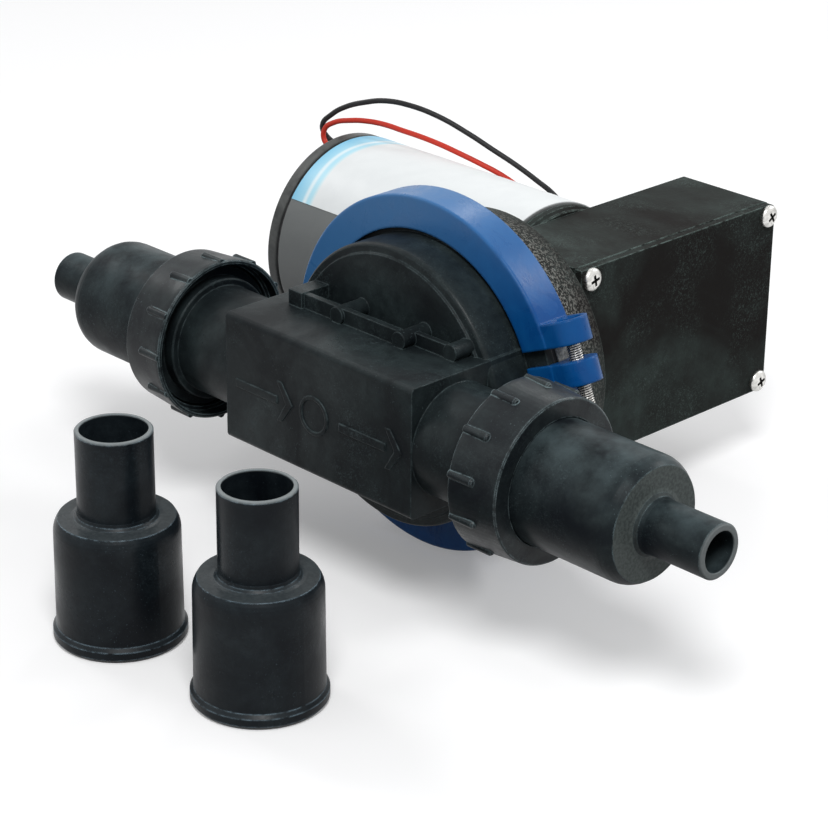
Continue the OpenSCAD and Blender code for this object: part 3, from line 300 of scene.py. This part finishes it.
def node_group(name, inputs, outputs):
    tree = bpy.data.node_groups.new(name, "ShaderNodeTree")
    for label, value in inputs.items():
        given = tree.interface.new_socket(label, in_out="INPUT", socket_type="NodeSocketFloat")
        given.default_value = value
    for label in outputs:
        tree.interface.new_socket(label, in_out="OUTPUT", socket_type="NodeSocketFloat")
    return tree, tree.nodes.new("NodeGroupInput").outputs, tree.nodes.new("NodeGroupOutput").inputs


def between(tree, value, low, high, to_low=0.0, to_high=1.0):
    """value from low to high becomes to_low to to_high, and stays within them."""
    return add(tree, "MapRange", {"Value": value, "From Min": low, "From Max": high,
                                  "To Min": to_low, "To Max": to_high}).outputs[0]


def math(tree, operation, a, b=0.0):
    return add(tree, "Math", {0: a, 1: b}, operation=operation).outputs[0]


def grain_group():
    """Fine mould grain, slow clouds where the melt flowed, small mottling and sparse pale specks."""
    tree, given, result = node_group("mould grain", {"Grain": 900.0, "Cloud": 45.0},
                                     ("Height", "Clouds", "Mottle", "Specks"))
    place = add(tree, "TexCoord").outputs["Object"]
    grain = add(tree, "TexNoise", {"Vector": place, "Scale": given["Grain"], "Detail": 3.0,
                                   "Roughness": 0.6})
    cloud = add(tree, "TexNoise", {"Vector": place, "Scale": given["Cloud"], "Detail": 6.0,
                                   "Roughness": 0.56, "Distortion": 0.9})
    fine = add(tree, "TexNoise", {"Vector": place, "Scale": math(tree, "MULTIPLY", given["Cloud"], 7.0),
                                  "Detail": 5.0, "Roughness": 0.7})
    speck = add(tree, "TexNoise", {"Vector": place, "Scale": 1500.0, "Detail": 1.0})
    patch = add(tree, "TexNoise", {"Vector": place, "Scale": 60.0, "Detail": 2.0})
    bright = between(tree, speck.outputs["Fac"], 0.68, 0.76)
    where = between(tree, patch.outputs["Fac"], 0.45, 0.65)
    tree.links.new(grain.outputs["Fac"], result["Height"])
    tree.links.new(between(tree, cloud.outputs["Fac"], 0.38, 0.64), result["Clouds"])
    tree.links.new(between(tree, fine.outputs["Fac"], 0.36, 0.66), result["Mottle"])
    tree.links.new(math(tree, "MULTIPLY", bright, where), result["Specks"])
    return tree


def rub_and_glint_group():
    """Pale marks broken up along sharp corners, partly rubbed wear and partly a painted highlight; dust
    with a painted sheen on what faces up; and scuffs in patches.
    """
    tree, given, result = node_group("rubbed and glinting corners", {"Width": 0.8 * MM, "Break": 300.0},
                                     ("Rub and glint", "Dust and sheen", "Scuff"))
    place = add(tree, "TexCoord").outputs["Object"]
    flat = add(tree, "NewGeometry").outputs["Normal"]
    # Corners painted pale: rubbed wear, and a painted highlight along the rounded edge.
    round_corner = add(tree, "Bevel", {"Radius": given["Width"]}, samples=4).outputs[0]
    alike = add(tree, "VectorMath", {0: flat, 1: round_corner}, operation="DOT_PRODUCT").outputs["Value"]
    corner = between(tree, alike, 0.99, 0.88)
    broken = add(tree, "TexNoise", {"Vector": place, "Scale": given["Break"], "Detail": 4.0,
                                    "Roughness": 0.65})
    worn = math(tree, "MULTIPLY", corner, between(tree, broken.outputs["Fac"], 0.36, 0.58))
    tree.links.new(worn, result["Rub and glint"])
    # What faces up is painted paler: dust, and a painted sheen of the light from above.
    rise = add(tree, "SeparateXYZ", {0: flat}).outputs["Z"]
    drift = add(tree, "TexNoise", {"Vector": place, "Scale": 70.0, "Detail": 6.0, "Roughness": 0.6})
    upward = between(tree, rise, 0.15, 0.95)
    settled_and_sheen = math(tree, "MULTIPLY", upward, between(tree, drift.outputs["Fac"], 0.35, 0.7))
    tree.links.new(settled_and_sheen, result["Dust and sheen"])
    where = add(tree, "TexNoise", {"Vector": place, "Scale": 34.0, "Detail": 2.0})
    scrape = add(tree, "TexNoise", {"Vector": place, "Scale": 820.0, "Detail": 5.0, "Roughness": 0.75,
                                    "Distortion": 1.5})
    marks = between(tree, scrape.outputs["Fac"], 0.52, 0.64)
    patch = math(tree, "MULTIPLY", between(tree, where.outputs["Fac"], 0.5, 0.66),
                 between(tree, rise, -0.6, 0.0))
    tree.links.new(math(tree, "MULTIPLY", marks, patch), result["Scuff"])
    return tree


MOULD_GRAIN = grain_group()
RUBBED_AND_GLINTING = rub_and_glint_group()


def use_group(tree, group, **values):
    made = tree.nodes.new("ShaderNodeGroup")
    made.node_tree = group
    for label, value in values.items():
        made.inputs[label].default_value = value
    return made.outputs


def mix(tree, amount, a, b):
    inputs = {0: amount}
    for socket, colour in ((6, a), (7, b)):
        inputs[socket] = colour if isinstance(colour, bpy.types.NodeSocket) else (*colour, 1)
    return add(tree, "Mix", inputs, data_type="RGBA").outputs[2]


def scaled(colour, by):
    return tuple(by * c for c in colour)


def rounded_bump(tree, height, distance, corner):
    """Grain of a real depth on a surface whose sharp edges shade as if rounded off."""
    smooth = add(tree, "Bevel", {"Radius": corner}, samples=6).outputs[0]
    return add(tree, "Bump", {"Height": height, "Distance": distance, "Normal": smooth}).outputs[0]


def moulded(name, colour, pale, rough=(0.42, 0.6), grain=900.0, depth=0.04 * MM, cloud=45.0, rub_and_glint=0.5,
            dust=0.35, specular=0.16, scuff=0.5, dusty=1.5, edge=8.0, specks=0.5, ends=None, marks=()):
    """A moulded piece. rough holds for the plain colour and for its pale clouds. rub_and_glint, dust,
    scuff and specks are how much of each there is, and dusty and edge how much paler than pale the
    dust and the pale corners are. The pale corners are rubbed wear and a painted highlight, and the
    dust on what faces up is also a painted sheen. ends is an axis and the tone of a painted
    highlight, gritty in places, on the faces that look along it. marks are pairs of a mask and its
    tone, laid over the rest."""
    material, tree, shader = new_material(name)
    skin = use_group(tree, MOULD_GRAIN, Grain=grain, Cloud=cloud)
    wear = use_group(tree, RUBBED_AND_GLINTING)
    smoke = math(tree, "MULTIPLY", skin["Clouds"], between(tree, skin["Mottle"], 0, 1, 0.45, 1.0))
    tone = mix(tree, smoke, colour, pale)
    # Paler on what faces up: dust and a painted sheen.
    tone = mix(tree, math(tree, "MULTIPLY", wear["Dust and sheen"], dust), tone, scaled(pale, dusty))
    # Pale corners: rubbed wear and a painted highlight.
    tone = mix(tree, math(tree, "MULTIPLY", wear["Rub and glint"], rub_and_glint), tone, scaled(pale, edge))
    tone = mix(tree, math(tree, "MULTIPLY", wear["Scuff"], scuff), tone, scaled(pale, SCUFF_PALER))
    tone = mix(tree, math(tree, "MULTIPLY", skin["Specks"], specks), tone, scaled(pale, SPECK_PALER))
    # A painted highlight, gritty in places, on the faces that look along the axis.
    if ends:
        axis, end_highlight_tone = ends
        normal = add(tree, "SeparateXYZ", {0: add(tree, "NewGeometry").outputs["Normal"]}).outputs[axis]
        facing = between(tree, math(tree, "ABSOLUTE", normal), 0.6, 0.97)
        gritty = between(tree, skin["Height"], 0.4, 0.6, 0.6, 1.0)
        tone = mix(tree, math(tree, "MULTIPLY", facing, gritty), tone, end_highlight_tone)
    for mask, mark_tone in marks:
        tone = mix(tree, mask(tree), tone, mark_tone)
    tree.links.new(tone, shader.inputs["Base Color"])
    tree.links.new(between(tree, skin["Clouds"], 0, 1, *rough), shader.inputs["Roughness"])
    tree.links.new(rounded_bump(tree, skin["Height"], depth, MOULD_CORNER), shader.inputs["Normal"])
    shader.inputs["Specular IOR Level"].default_value = specular
    return material


def dress(material, *nodes):
    for name in nodes:
        slots = NODES[name].data.materials
        slots.clear()
        slots.append(material)


head_plastic = moulded("head plastic", HEAD_BLACK, HEAD_PALE, rough=(0.5, 0.27), cloud=26.0,
                       rub_and_glint=0.2, dust=0.08, specular=0.11, specks=0.3)
dress(head_plastic, "pump_head")


# The two fittings with their hose tails are of the head's plastic, duller and dustier.
# Their shoulders, facing the ends, carry a painted highlight, gritty in places, and the cut lip of
# each tail carries a painted highlight ring. Their corners and what faces up are painted pale too:
# wear and dust, with a painted highlight and sheen.
TAIL_BLACK = (0.0036, 0.0056, 0.0080)
TAIL_PALE = (0.021, 0.029, 0.031)
TAIL_SHOULDER_HIGHLIGHT = (0.095, 0.112, 0.108)
TAIL_LIP_HIGHLIGHT = (0.24, 0.26, 0.265)
LIP_HIGHLIGHT_WIDTH = 0.7 * MM
LIP_HIGHLIGHT_CORE = 0.1 * MM
LIP_HIGHLIGHT_AMOUNT = 0.6


def lip_highlight(axis, tip):
    """A painted highlight on the thin rim of a tail that ends at tip."""
    def mask(tree):
        along = add(tree, "SeparateXYZ", {0: add(tree, "TexCoord").outputs["Object"]}).outputs[axis]
        off = math(tree, "ABSOLUTE", math(tree, "SUBTRACT", along, tip))
        return between(tree, off, LIP_HIGHLIGHT_WIDTH, LIP_HIGHLIGHT_CORE, 0.0, LIP_HIGHLIGHT_AMOUNT)
    return mask


inlet_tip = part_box("inlet_tail")[0][0]
outlet_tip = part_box("outlet_tail")[1][0]
tail_plastic = moulded("hose tail plastic", TAIL_BLACK, TAIL_PALE, rough=(0.48, 0.32), cloud=42.0,
                       dust=0.9, rub_and_glint=0.7, specular=0.08, scuff=0.6, dusty=3.0, edge=12.0,
                       ends=("X", TAIL_SHOULDER_HIGHLIGHT),
                       marks=((lip_highlight("X", inlet_tip), TAIL_LIP_HIGHLIGHT), (lip_highlight("X", outlet_tip), TAIL_LIP_HIGHLIGHT)))
dress(tail_plastic, "inlet_tail", "outlet_tail")


# The two loose fittings are of the same plastic, cleaner and a little shinier.
# They stand on their flanges with the tail up. Their corners are painted pale, wear with a painted
# highlight, their lips carry a painted highlight ring, and their shoulders a painted highlight.
LOOSE_BLACK = (0.0026, 0.0042, 0.0062)
LOOSE_PALE = (0.015, 0.021, 0.025)
LOOSE_SHOULDER_HIGHLIGHT = (0.045, 0.054, 0.058)
LOOSE_LIP_HIGHLIGHT = (0.3, 0.33, 0.335)

loose_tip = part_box("spare_tail_left")[1][2]
loose_plastic = moulded("loose tail plastic", LOOSE_BLACK, LOOSE_PALE, rough=(0.42, 0.25), cloud=36.0,
                        rub_and_glint=0.9, specular=0.13, dusty=2.4, edge=20.0,
                        ends=("Z", LOOSE_SHOULDER_HIGHLIGHT), marks=((lip_highlight("Z", loose_tip), LOOSE_LIP_HIGHLIGHT),))
dress(loose_plastic, "spare_tail_left", "spare_tail_right")


# The drive housing, its cover and the motor's flange are of a duller, coarser black plastic.
# The round body behind the clamp ring is blasted: pale grit covers the rim that the ring clamps,
# and thins out behind it.
BOX_BLACK = (0.0135, 0.0125, 0.012)
BOX_PALE = (0.042, 0.057, 0.053)
GRIT_TONE = (0.55, 0.55, 0.51)
GRIT_SCALE = 1050.0
GRIT_INNER = (50 * MM, 54 * MM)
GRIT_BEHIND = (34 * MM, 14 * MM)
GRIT_THIN = 0.42
RIM_INNER = (61.5 * MM, 62.2 * MM)


def sandy(tree):
    """Coarse pale grit on the round body just behind the clamp ring, and all over its clamped rim."""
    place = add(tree, "TexCoord").outputs["Object"]
    apart = add(tree, "VectorMath", {0: place, 1: tuple(ring_centre)}, operation="SUBTRACT").outputs[0]
    parts = add(tree, "SeparateXYZ", {0: apart}).outputs
    reach = math(tree, "SQRT", math(tree, "ADD", math(tree, "MULTIPLY", parts["X"], parts["X"]),
                                    math(tree, "MULTIPLY", parts["Z"], parts["Z"])))
    grit = add(tree, "TexNoise", {"Vector": place, "Scale": GRIT_SCALE, "Detail": 2.0,
                                  "Roughness": 0.7}).outputs["Fac"]
    body = math(tree, "MULTIPLY", between(tree, reach, *GRIT_INNER),
                between(tree, parts["Y"], *GRIT_BEHIND, 0.0, GRIT_THIN))
    speckled = math(tree, "MULTIPLY", between(tree, grit, 0.5, 0.58), body)
    rim = math(tree, "MULTIPLY", between(tree, reach, *RIM_INNER), between(tree, grit, 0.4, 0.6, 0.45, 1.0))
    return math(tree, "MAXIMUM", speckled, rim)


# Its corners are painted pale, rubbed wear with a painted highlight, and what faces up a little paler, dust
# with a painted sheen.
box_plastic = moulded("drive box plastic", BOX_BLACK, BOX_PALE, rough=(0.66, 0.48), grain=650.0,
                      depth=0.07 * MM, cloud=14.0, dust=0.08, specular=0.035, specks=0.1,
                      marks=((sandy, GRIT_TONE),))
dress(box_plastic, "drive_housing", "housing_cover", "motor_flange")


# The union nuts are moulded from a harder, smoother black plastic than the head, so they shine
# more. They are spun up by hand on their ribs.
NUT_BLACK = (0.0045, 0.0062, 0.0085)
NUT_PALE = (0.026, 0.035, 0.037)

# Their rims and corners are painted pale: rubbed wear and a painted highlight, strongest on these nuts.
nut_plastic = moulded("nut plastic", NUT_BLACK, NUT_PALE, rough=(0.42, 0.26), grain=1400.0,
                      depth=0.02 * MM, cloud=55.0, rub_and_glint=0.62, dust=0.3, edge=12.0)
dress(nut_plastic, "inlet_nut", "outlet_nut")


# The clamp ring is a steel band with a thick, slightly wavy blue powder coat, chipped to a paler
# blue at its corners, which also carry a painted highlight. Towards the ring's upper left a painted
# sheen makes it paler.
RING_BLUE = (0.0015, 0.066, 0.25)
RING_PALE = (0.006, 0.15, 0.42)
RING_SHEEN = (0.06, 0.19, 0.41)
SHEEN_OVER = 55 * MM
SHEEN_AMOUNT = 0.8
COAT_CORNER = 1.2 * MM
COAT_CHIPPED_AND_GLINT = 0.5


# A painted sheen: paler towards the ring's upper left, where the light falls on it.
def sheen_towards_upper_left(tree):
    place = add(tree, "TexCoord").outputs["Object"]
    apart = add(tree, "VectorMath", {0: place, 1: tuple(ring_centre)}, operation="SUBTRACT").outputs[0]
    along = add(tree, "VectorMath", {0: apart, 1: (-0.6, 0, 0.8)}, operation="DOT_PRODUCT").outputs["Value"]
    return between(tree, along, 0.0, SHEEN_OVER, 0.0, SHEEN_AMOUNT)


def coated(name, colour, pale, rough, wave=0.06 * MM, gloss=0.25, cloudy=0.25, marks=()):
    """A painted or powder-coated piece, with a coat of this wave depth and paler corners, chipped and with
    a painted highlight.
    """
    material, tree, shader = new_material(name)
    skin = use_group(tree, MOULD_GRAIN, Grain=420.0, Cloud=90.0)
    wear = use_group(tree, RUBBED_AND_GLINTING)
    tone = mix(tree, math(tree, "MULTIPLY", skin["Clouds"], cloudy), colour, pale)
    for mask, mark_tone in marks:
        tone = mix(tree, mask(tree), tone, mark_tone)
    # Corners painted paler: chipped coat and a painted highlight.
    tone = mix(tree, math(tree, "MULTIPLY", wear["Rub and glint"], COAT_CHIPPED_AND_GLINT), tone, pale)
    tree.links.new(tone, shader.inputs["Base Color"])
    tree.links.new(between(tree, skin["Clouds"], 0, 1, *rough), shader.inputs["Roughness"])
    tree.links.new(rounded_bump(tree, skin["Height"], wave, COAT_CORNER), shader.inputs["Normal"])
    shader.inputs["Specular IOR Level"].default_value = gloss
    return material


dress(coated("blue powder coat", RING_BLUE, RING_PALE, (0.26, 0.38), gloss=0.2,
             marks=((sheen_towards_upper_left, RING_SHEEN),)), "clamp_ring")


# The screws and bolts are zinc-plated steel with fine scratches, and so is the plate in front of
# the diaphragm. The bare strands of the leads are tinned to the same tone.
ZINC = (0.78, 0.77, 0.74)
STEEL_CORNER = 0.3 * MM
SCRATCH_DEPTH = 0.01 * MM
DULL = 0.62


def steel(name, colour, rough=(0.22, 0.42), grain=1800.0):
    material, tree, shader = new_material(name)
    skin = use_group(tree, MOULD_GRAIN, Grain=grain, Cloud=300.0)
    tree.links.new(mix(tree, skin["Clouds"], colour, scaled(colour, DULL)), shader.inputs["Base Color"])
    tree.links.new(between(tree, skin["Clouds"], 0, 1, *rough), shader.inputs["Roughness"])
    tree.links.new(rounded_bump(tree, skin["Height"], SCRATCH_DEPTH, STEEL_CORNER), shader.inputs["Normal"])
    shader.inputs["Metallic"].default_value = 1.0
    return material


zinc = steel("zinc plate", ZINC)
for strands in (black_strands, red_strands):
    strands.data.materials.append(zinc)
dress(zinc, "flange_screws", "through_bolts", "saddle_screws", "diaphragm_screw", "front_plate")


# The clamp screw is an M5 socket screw. Its cut thread shows in the gap between the ears and
# below the lower one, and its head is sunk in the upper ear.
# Dirt and painted shade darken the thread's root and the socket.
THREAD_PITCH = 0.8
THREAD_DEPTH = 0.42
THREAD_ROWS = 8
SCREW_RADIUS = 2.5
SCREW_TIP = -19.9
SCREW_SEAT = 5.2
SCREW_SIDES = 48
POINT_LENGTH = 1.1
POINT_RADIUS = 0.72
SOCKET_FLAT = 2.1
EAR_ANGLE = radians(22.5)
EAR_REACH = 71.7
DIRTY_SHADED_ROOT = SCREW_RADIUS - 0.24
RECESS_DIRT_AND_SHADE = (0.03, 0.029, 0.028)

# Dark steel for the recesses: dirt and painted shade where the hollows are dark.
dirt_and_shade = steel("dirty steel with painted shade", RECESS_DIRT_AND_SHADE, (0.5, 0.7))


def turned_piece(name, rings, sides, recess_from, root_radius=0):
    """A closed skin over rings of (height, radius), where a radius may be a function of the angle.
    Steps from recess_from on, and walls nearer the axis than root_radius, are painted dark: dirt and
    painted shade."""
    mesh = bmesh.new()
    loops = []
    angles = [tau * i / sides for i in range(sides)]
    for height, radius in rings:
        reach = [radius(a) if callable(radius) else radius for a in angles]
        loops.append([mesh.verts.new((r * MM * cos(a), r * MM * sin(a), height * MM))
                      for a, r in zip(angles, reach)])
    for step, (low, high) in enumerate(zip(loops, loops[1:])):
        for i in range(sides):
            j = (i + 1) % sides
            wall = mesh.faces.new((low[i], low[j], high[j], high[i]))
            wall.smooth = True
            wall.material_index = int(step >= recess_from)
            if root_radius:
                middle = sum((v.co.x ** 2 + v.co.y ** 2) ** 0.5 for v in wall.verts) / 4
                wall.material_index = max(wall.material_index, int(middle < root_radius * MM))
    mesh.faces.new(list(reversed(loops[0])))
    top = mesh.faces.new(loops[-1])
    top.material_index = 1
    data = bpy.data.meshes.new(name)
    mesh.to_mesh(data)
    mesh.free()
    data.set_sharp_from_angle(angle=radians(35))
    piece = bpy.data.objects.new(name, data)
    bpy.context.scene.collection.objects.link(piece)
    data.materials.append(zinc)
    data.materials.append(dirt_and_shade)
    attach(piece, "pump")
    return piece


def thread(height):
    """Radius round the shank at this height: a ridge that climbs one pitch for each turn."""
    def radius(angle):
        phase = (height / THREAD_PITCH - angle / tau) % 1.0
        ridge = min(1.0, 1.35 * (1 - abs(2 * phase - 1)))
        worn = min(1.0, (height - SCREW_TIP + 0.15) / POINT_LENGTH)
        return (SCREW_RADIUS - THREAD_DEPTH * (1 - ridge)) * (POINT_RADIUS + (1 - POINT_RADIUS) * worn)
    return radius


def socket(angle):
    """Radius of the six-sided socket."""
    return SOCKET_FLAT / cos((angle + radians(30)) % radians(60) - radians(30))


SCREW_HEAD = (  # height above the seat and radius, up the outside and down into the socket
    (0, 2.4), (0, 4.5), (0.2, 4.65), (3.7, 4.65), (4, 4.4),
    (4, 2.7), (3.8, socket), (1.6, socket), (1.6, 0.3),
)
rows = int((SCREW_SEAT - SCREW_TIP) / (THREAD_PITCH / THREAD_ROWS))
shank = [(z, thread(z)) for z in [SCREW_TIP + i * THREAD_PITCH / THREAD_ROWS for i in range(rows)]]
head = [(SCREW_SEAT + height, radius) for height, radius in SCREW_HEAD]
socket_from = len(shank + head) - 3
clamp_screw = turned_piece("clamp_screw_threaded", shank + head, SCREW_SIDES, socket_from, DIRTY_SHADED_ROOT)
clamp_screw.matrix_world = (Matrix.Translation(ring_centre) @ Matrix.Rotation(-EAR_ANGLE, 4, "Y")
                            @ Matrix.Translation((EAR_REACH * MM, 0, 0)))
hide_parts("clamp_screw")


# The cover screws are zinc-plated pan heads with a cross recess, driven into the corners of the
# drive box. Each stopped at its own angle, and the recess is painted dark, dirt and painted shade.
PAN_RADIUS = 4.3
PAN_HEIGHT = 2.8
PAN_SIDES = 72
SHANK_RADIUS = 1.6
SHANK_LENGTH = 11
CROSS_REACH = 2.2
CROSS_TURN = radians(14)
CROSS_DEPTH = 1.5
PAN_CORNERS = ((0, 1, 14), (1, 1, 33), (1, 0, 21), (0, 0, 50))  # far side, upper side, turn in degrees


def cross(scale):
    """Outline of the recess: four arms that are narrow at their ends."""
    def radius(angle):
        off = abs((angle + radians(45)) % radians(90) - radians(45))
        if off <= CROSS_TURN:
            return scale * CROSS_REACH / cos(off)
        return scale * CROSS_REACH * sin(CROSS_TURN) / cos(CROSS_TURN) / sin(off)
    return radius


dome = [(PAN_HEIGHT * (0.32 + 0.68 * sin(a)), PAN_RADIUS * cos(a * 0.985) if a else PAN_RADIUS)
        for a in [radians(d) for d in (0, 12, 24, 36, 48)]]
crown = dome[-1][0]
pan = [(-SHANK_LENGTH, 1.2), (1 - SHANK_LENGTH, SHANK_RADIUS), (0, SHANK_RADIUS),
       (0.02, PAN_RADIUS - 0.15), (0.3, PAN_RADIUS)] + dome
pan += [(crown + 0.18, cross(1.0)), (crown - 0.5, cross(0.82)), (crown - CROSS_DEPTH, cross(0.4)),
        (crown - CROSS_DEPTH, 0.1)]
screws_low, screws_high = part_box("cover_screws")
across = PAN_RADIUS * MM
for corner, (far, upper, turn) in enumerate(PAN_CORNERS):
    screw = turned_piece("pan_screw_%d" % corner, pan, PAN_SIDES, len(pan) - 4)
    place = Vector((
        screws_high[0] - PAN_HEIGHT * MM,
        screws_high[1] - across if far else screws_low[1] + across,
        screws_high[2] - across if upper else screws_low[2] + across,
    ))
    screw.matrix_world = (Matrix.Translation(place) @ Matrix.Rotation(radians(90), 4, "Y")
                          @ Matrix.Rotation(radians(turn), 4, "Z"))
    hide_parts("cover_screws")


# The shafts, the motor's pulley and the bearings are ground steel, and run bright.
# They turn inside the closed housing and the motor.
ground_steel = steel("ground steel", (0.7, 0.7, 0.71), (0.16, 0.3))
dress(ground_steel, "crankshaft", "jackshaft", "motor_shaft", "motor_pulley", "drive_bearings",
      "motor_bearings", "rod_bearing")


# The connecting rod and the plate behind the diaphragm are cast aluminium with a coarser skin.
# The diaphragm's screw draws both plates together on the rod's end.
cast_aluminium = steel("cast aluminium", (0.6, 0.61, 0.63), (0.42, 0.62), 900.0)
dress(cast_aluminium, "connecting_rod", "rear_plate")


# The armature is a stack of pressed steel sheets on the motor's shaft, wound with copper wire
# that ends on a copper commutator.
core_steel = steel("laminated core", (0.36, 0.37, 0.38), (0.35, 0.5))
dress(core_steel, "armature_core")
copper = steel("copper wire", (0.78, 0.38, 0.2), (0.25, 0.4))
dress(copper, "windings", "commutator")


# The belts, valves, mounts, grommet and cap seal are black rubber, matt and a little dusty.
# The two plastic pulleys, the brushes and the magnets have the same dull black.
RUBBER_BLACK = (0.009, 0.009, 0.010)
RUBBER_PALE = (0.03, 0.03, 0.031)

# Its corners and what faces up are painted a little paler: wear and dust, with a painted highlight and
# sheen.
rubber = moulded("black rubber", RUBBER_BLACK, RUBBER_PALE, rough=(0.55, 0.75), grain=700.0,
                 depth=0.03 * MM, rub_and_glint=0.2, dust=0.5, specular=0.3)
dress(rubber, "crank_belt", "motor_belt", "inlet_valve", "outlet_valve", "rubber_mounts", "lead_grommet",
      "cap_seal", "brushes", "magnets", "crank_pulley", "jackshaft_pulley")


# The diaphragm is one rubber moulding that stretches between its clamped rim and the rod's plates.
# Its middle rides on the rod and its rim stays in the pump. Where it would stretch is a gap, wider
# than the 4 mm that the rod moves sideways.
FLEX_RADIUS = 30.6
FLEX_GAP = 4.6


def from_axis(point):
    return ((point.x - ring_centre.x) ** 2 + (point.z - ring_centre.z) ** 2) ** 0.5 / MM


def diaphragm_part(name, body, middle):
    """The diaphragm inside FLEX_RADIUS if middle, drawn in by the gap, or else the part outside it."""
    mesh = bmesh.new()
    mesh.from_mesh(NODES["diaphragm"].data)
    bmesh.ops.remove_doubles(mesh, verts=mesh.verts, dist=0.001 * MM)
    other = [face for face in mesh.faces if (from_axis(face.calc_center_median()) < FLEX_RADIUS) != middle]
    bmesh.ops.delete(mesh, geom=other, context="FACES")
    bmesh.ops.bridge_loops(mesh, edges=[edge for edge in mesh.edges if edge.is_boundary])
    bmesh.ops.recalc_face_normals(mesh, faces=mesh.faces)
    for vert in mesh.verts:
        if middle and from_axis(vert.co) > FLEX_RADIUS - FLEX_GAP:
            shrink = 1 - FLEX_GAP / FLEX_RADIUS
            vert.co.x = ring_centre.x + (vert.co.x - ring_centre.x) * shrink
            vert.co.z = ring_centre.z + (vert.co.z - ring_centre.z) * shrink
    data = bpy.data.meshes.new(name)
    mesh.to_mesh(data)
    mesh.free()
    data.shade_smooth()
    data.set_sharp_from_angle(angle=radians(25))
    data.materials.clear()
    data.materials.append(rubber)
    piece = bpy.data.objects.new(name, data)
    bpy.context.scene.collection.objects.link(piece)
    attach(piece, body)
    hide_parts("diaphragm")


diaphragm_part("diaphragm_middle", "rod", True)
diaphragm_part("diaphragm_rim", "pump", False)


# The motor is a drawn steel can in grey satin paint with a dark cast end cap. It lies in a
# black-painted steel saddle, which carries the pump on its four rubber mounts.
CAN_GREY = (0.145, 0.155, 0.155)
CAN_PALE = (0.2, 0.208, 0.205)
CAP_DARK = (0.032, 0.035, 0.035)
CAP_PALE = (0.11, 0.115, 0.112)
SADDLE_BLACK = (0.02, 0.021, 0.022)
SADDLE_PALE = (0.06, 0.062, 0.063)

dress(coated("grey motor paint", CAN_GREY, CAN_PALE, (0.32, 0.46), wave=0.02 * MM), "motor_can")
dress(coated("dark cap paint", CAP_DARK, CAP_PALE, (0.34, 0.5), wave=0.04 * MM, cloudy=0.75),
      "motor_end_cap")
dress(coated("black saddle paint", SADDLE_BLACK, SADDLE_PALE, (0.36, 0.5)), "mounting_saddle")


# The rating label is a white film wrapped round the can, with a pale blue wave beside the cap.
# The wave deepens towards the cap, and a white crest runs along it.
LABEL_WHITE = (0.80, 0.83, 0.835)
LABEL_SHADE = (0.70, 0.73, 0.74)
WAVE_PALE = (0.50, 0.80, 0.90)
WAVE_DEEP = (0.20, 0.56, 0.80)
WAVE_CREST = (0.86, 0.93, 0.95)
WAVE_WIDTH = 12.5 * MM
WAVE_DEPTH = 12 * MM
SWAY = (95.0, 2.2 * MM)
SLOW_SWAY = (60.0, 1.6 * MM)
CREST_AT = 4.2 * MM
CREST_WIDTH = 1.6 * MM
CREST_CORE = 0.3 * MM


def label_film():
    material, tree, shader = new_material("label film")
    film = add(tree, "TexCoord").outputs["Object"]
    place = add(tree, "SeparateXYZ", {0: film}).outputs
    sways = [math(tree, "MULTIPLY", math(tree, "SINE", math(tree, "MULTIPLY", place[axis], pace)), swing)
             for axis, (pace, swing) in (("Y", SWAY), ("Z", SLOW_SWAY))]
    edge = math(tree, "ADD", math(tree, "ADD", *sways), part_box("rating_label")[0][0] + WAVE_WIDTH)
    inside = math(tree, "SUBTRACT", edge, place["X"])
    from_crest = math(tree, "ABSOLUTE", math(tree, "SUBTRACT", inside, CREST_AT))
    crest = between(tree, from_crest, CREST_WIDTH, CREST_CORE)
    water = mix(tree, between(tree, inside, 0.0, WAVE_DEPTH), WAVE_PALE, WAVE_DEEP)
    water = mix(tree, math(tree, "MULTIPLY", crest, 0.75), water, WAVE_CREST)
    mottle = add(tree, "TexNoise", {"Vector": film, "Scale": 160.0, "Detail": 5.0})
    paper = mix(tree, between(tree, mottle.outputs["Fac"], 0.4, 0.65, 0.0, 0.25), LABEL_WHITE, LABEL_SHADE)
    wash = between(tree, inside, -0.6 * MM, 1.4 * MM)
    tree.links.new(mix(tree, wash, paper, water), shader.inputs["Base Color"])
    shader.inputs["Roughness"].default_value = 0.38
    return material


dress(label_film(), "rating_label")
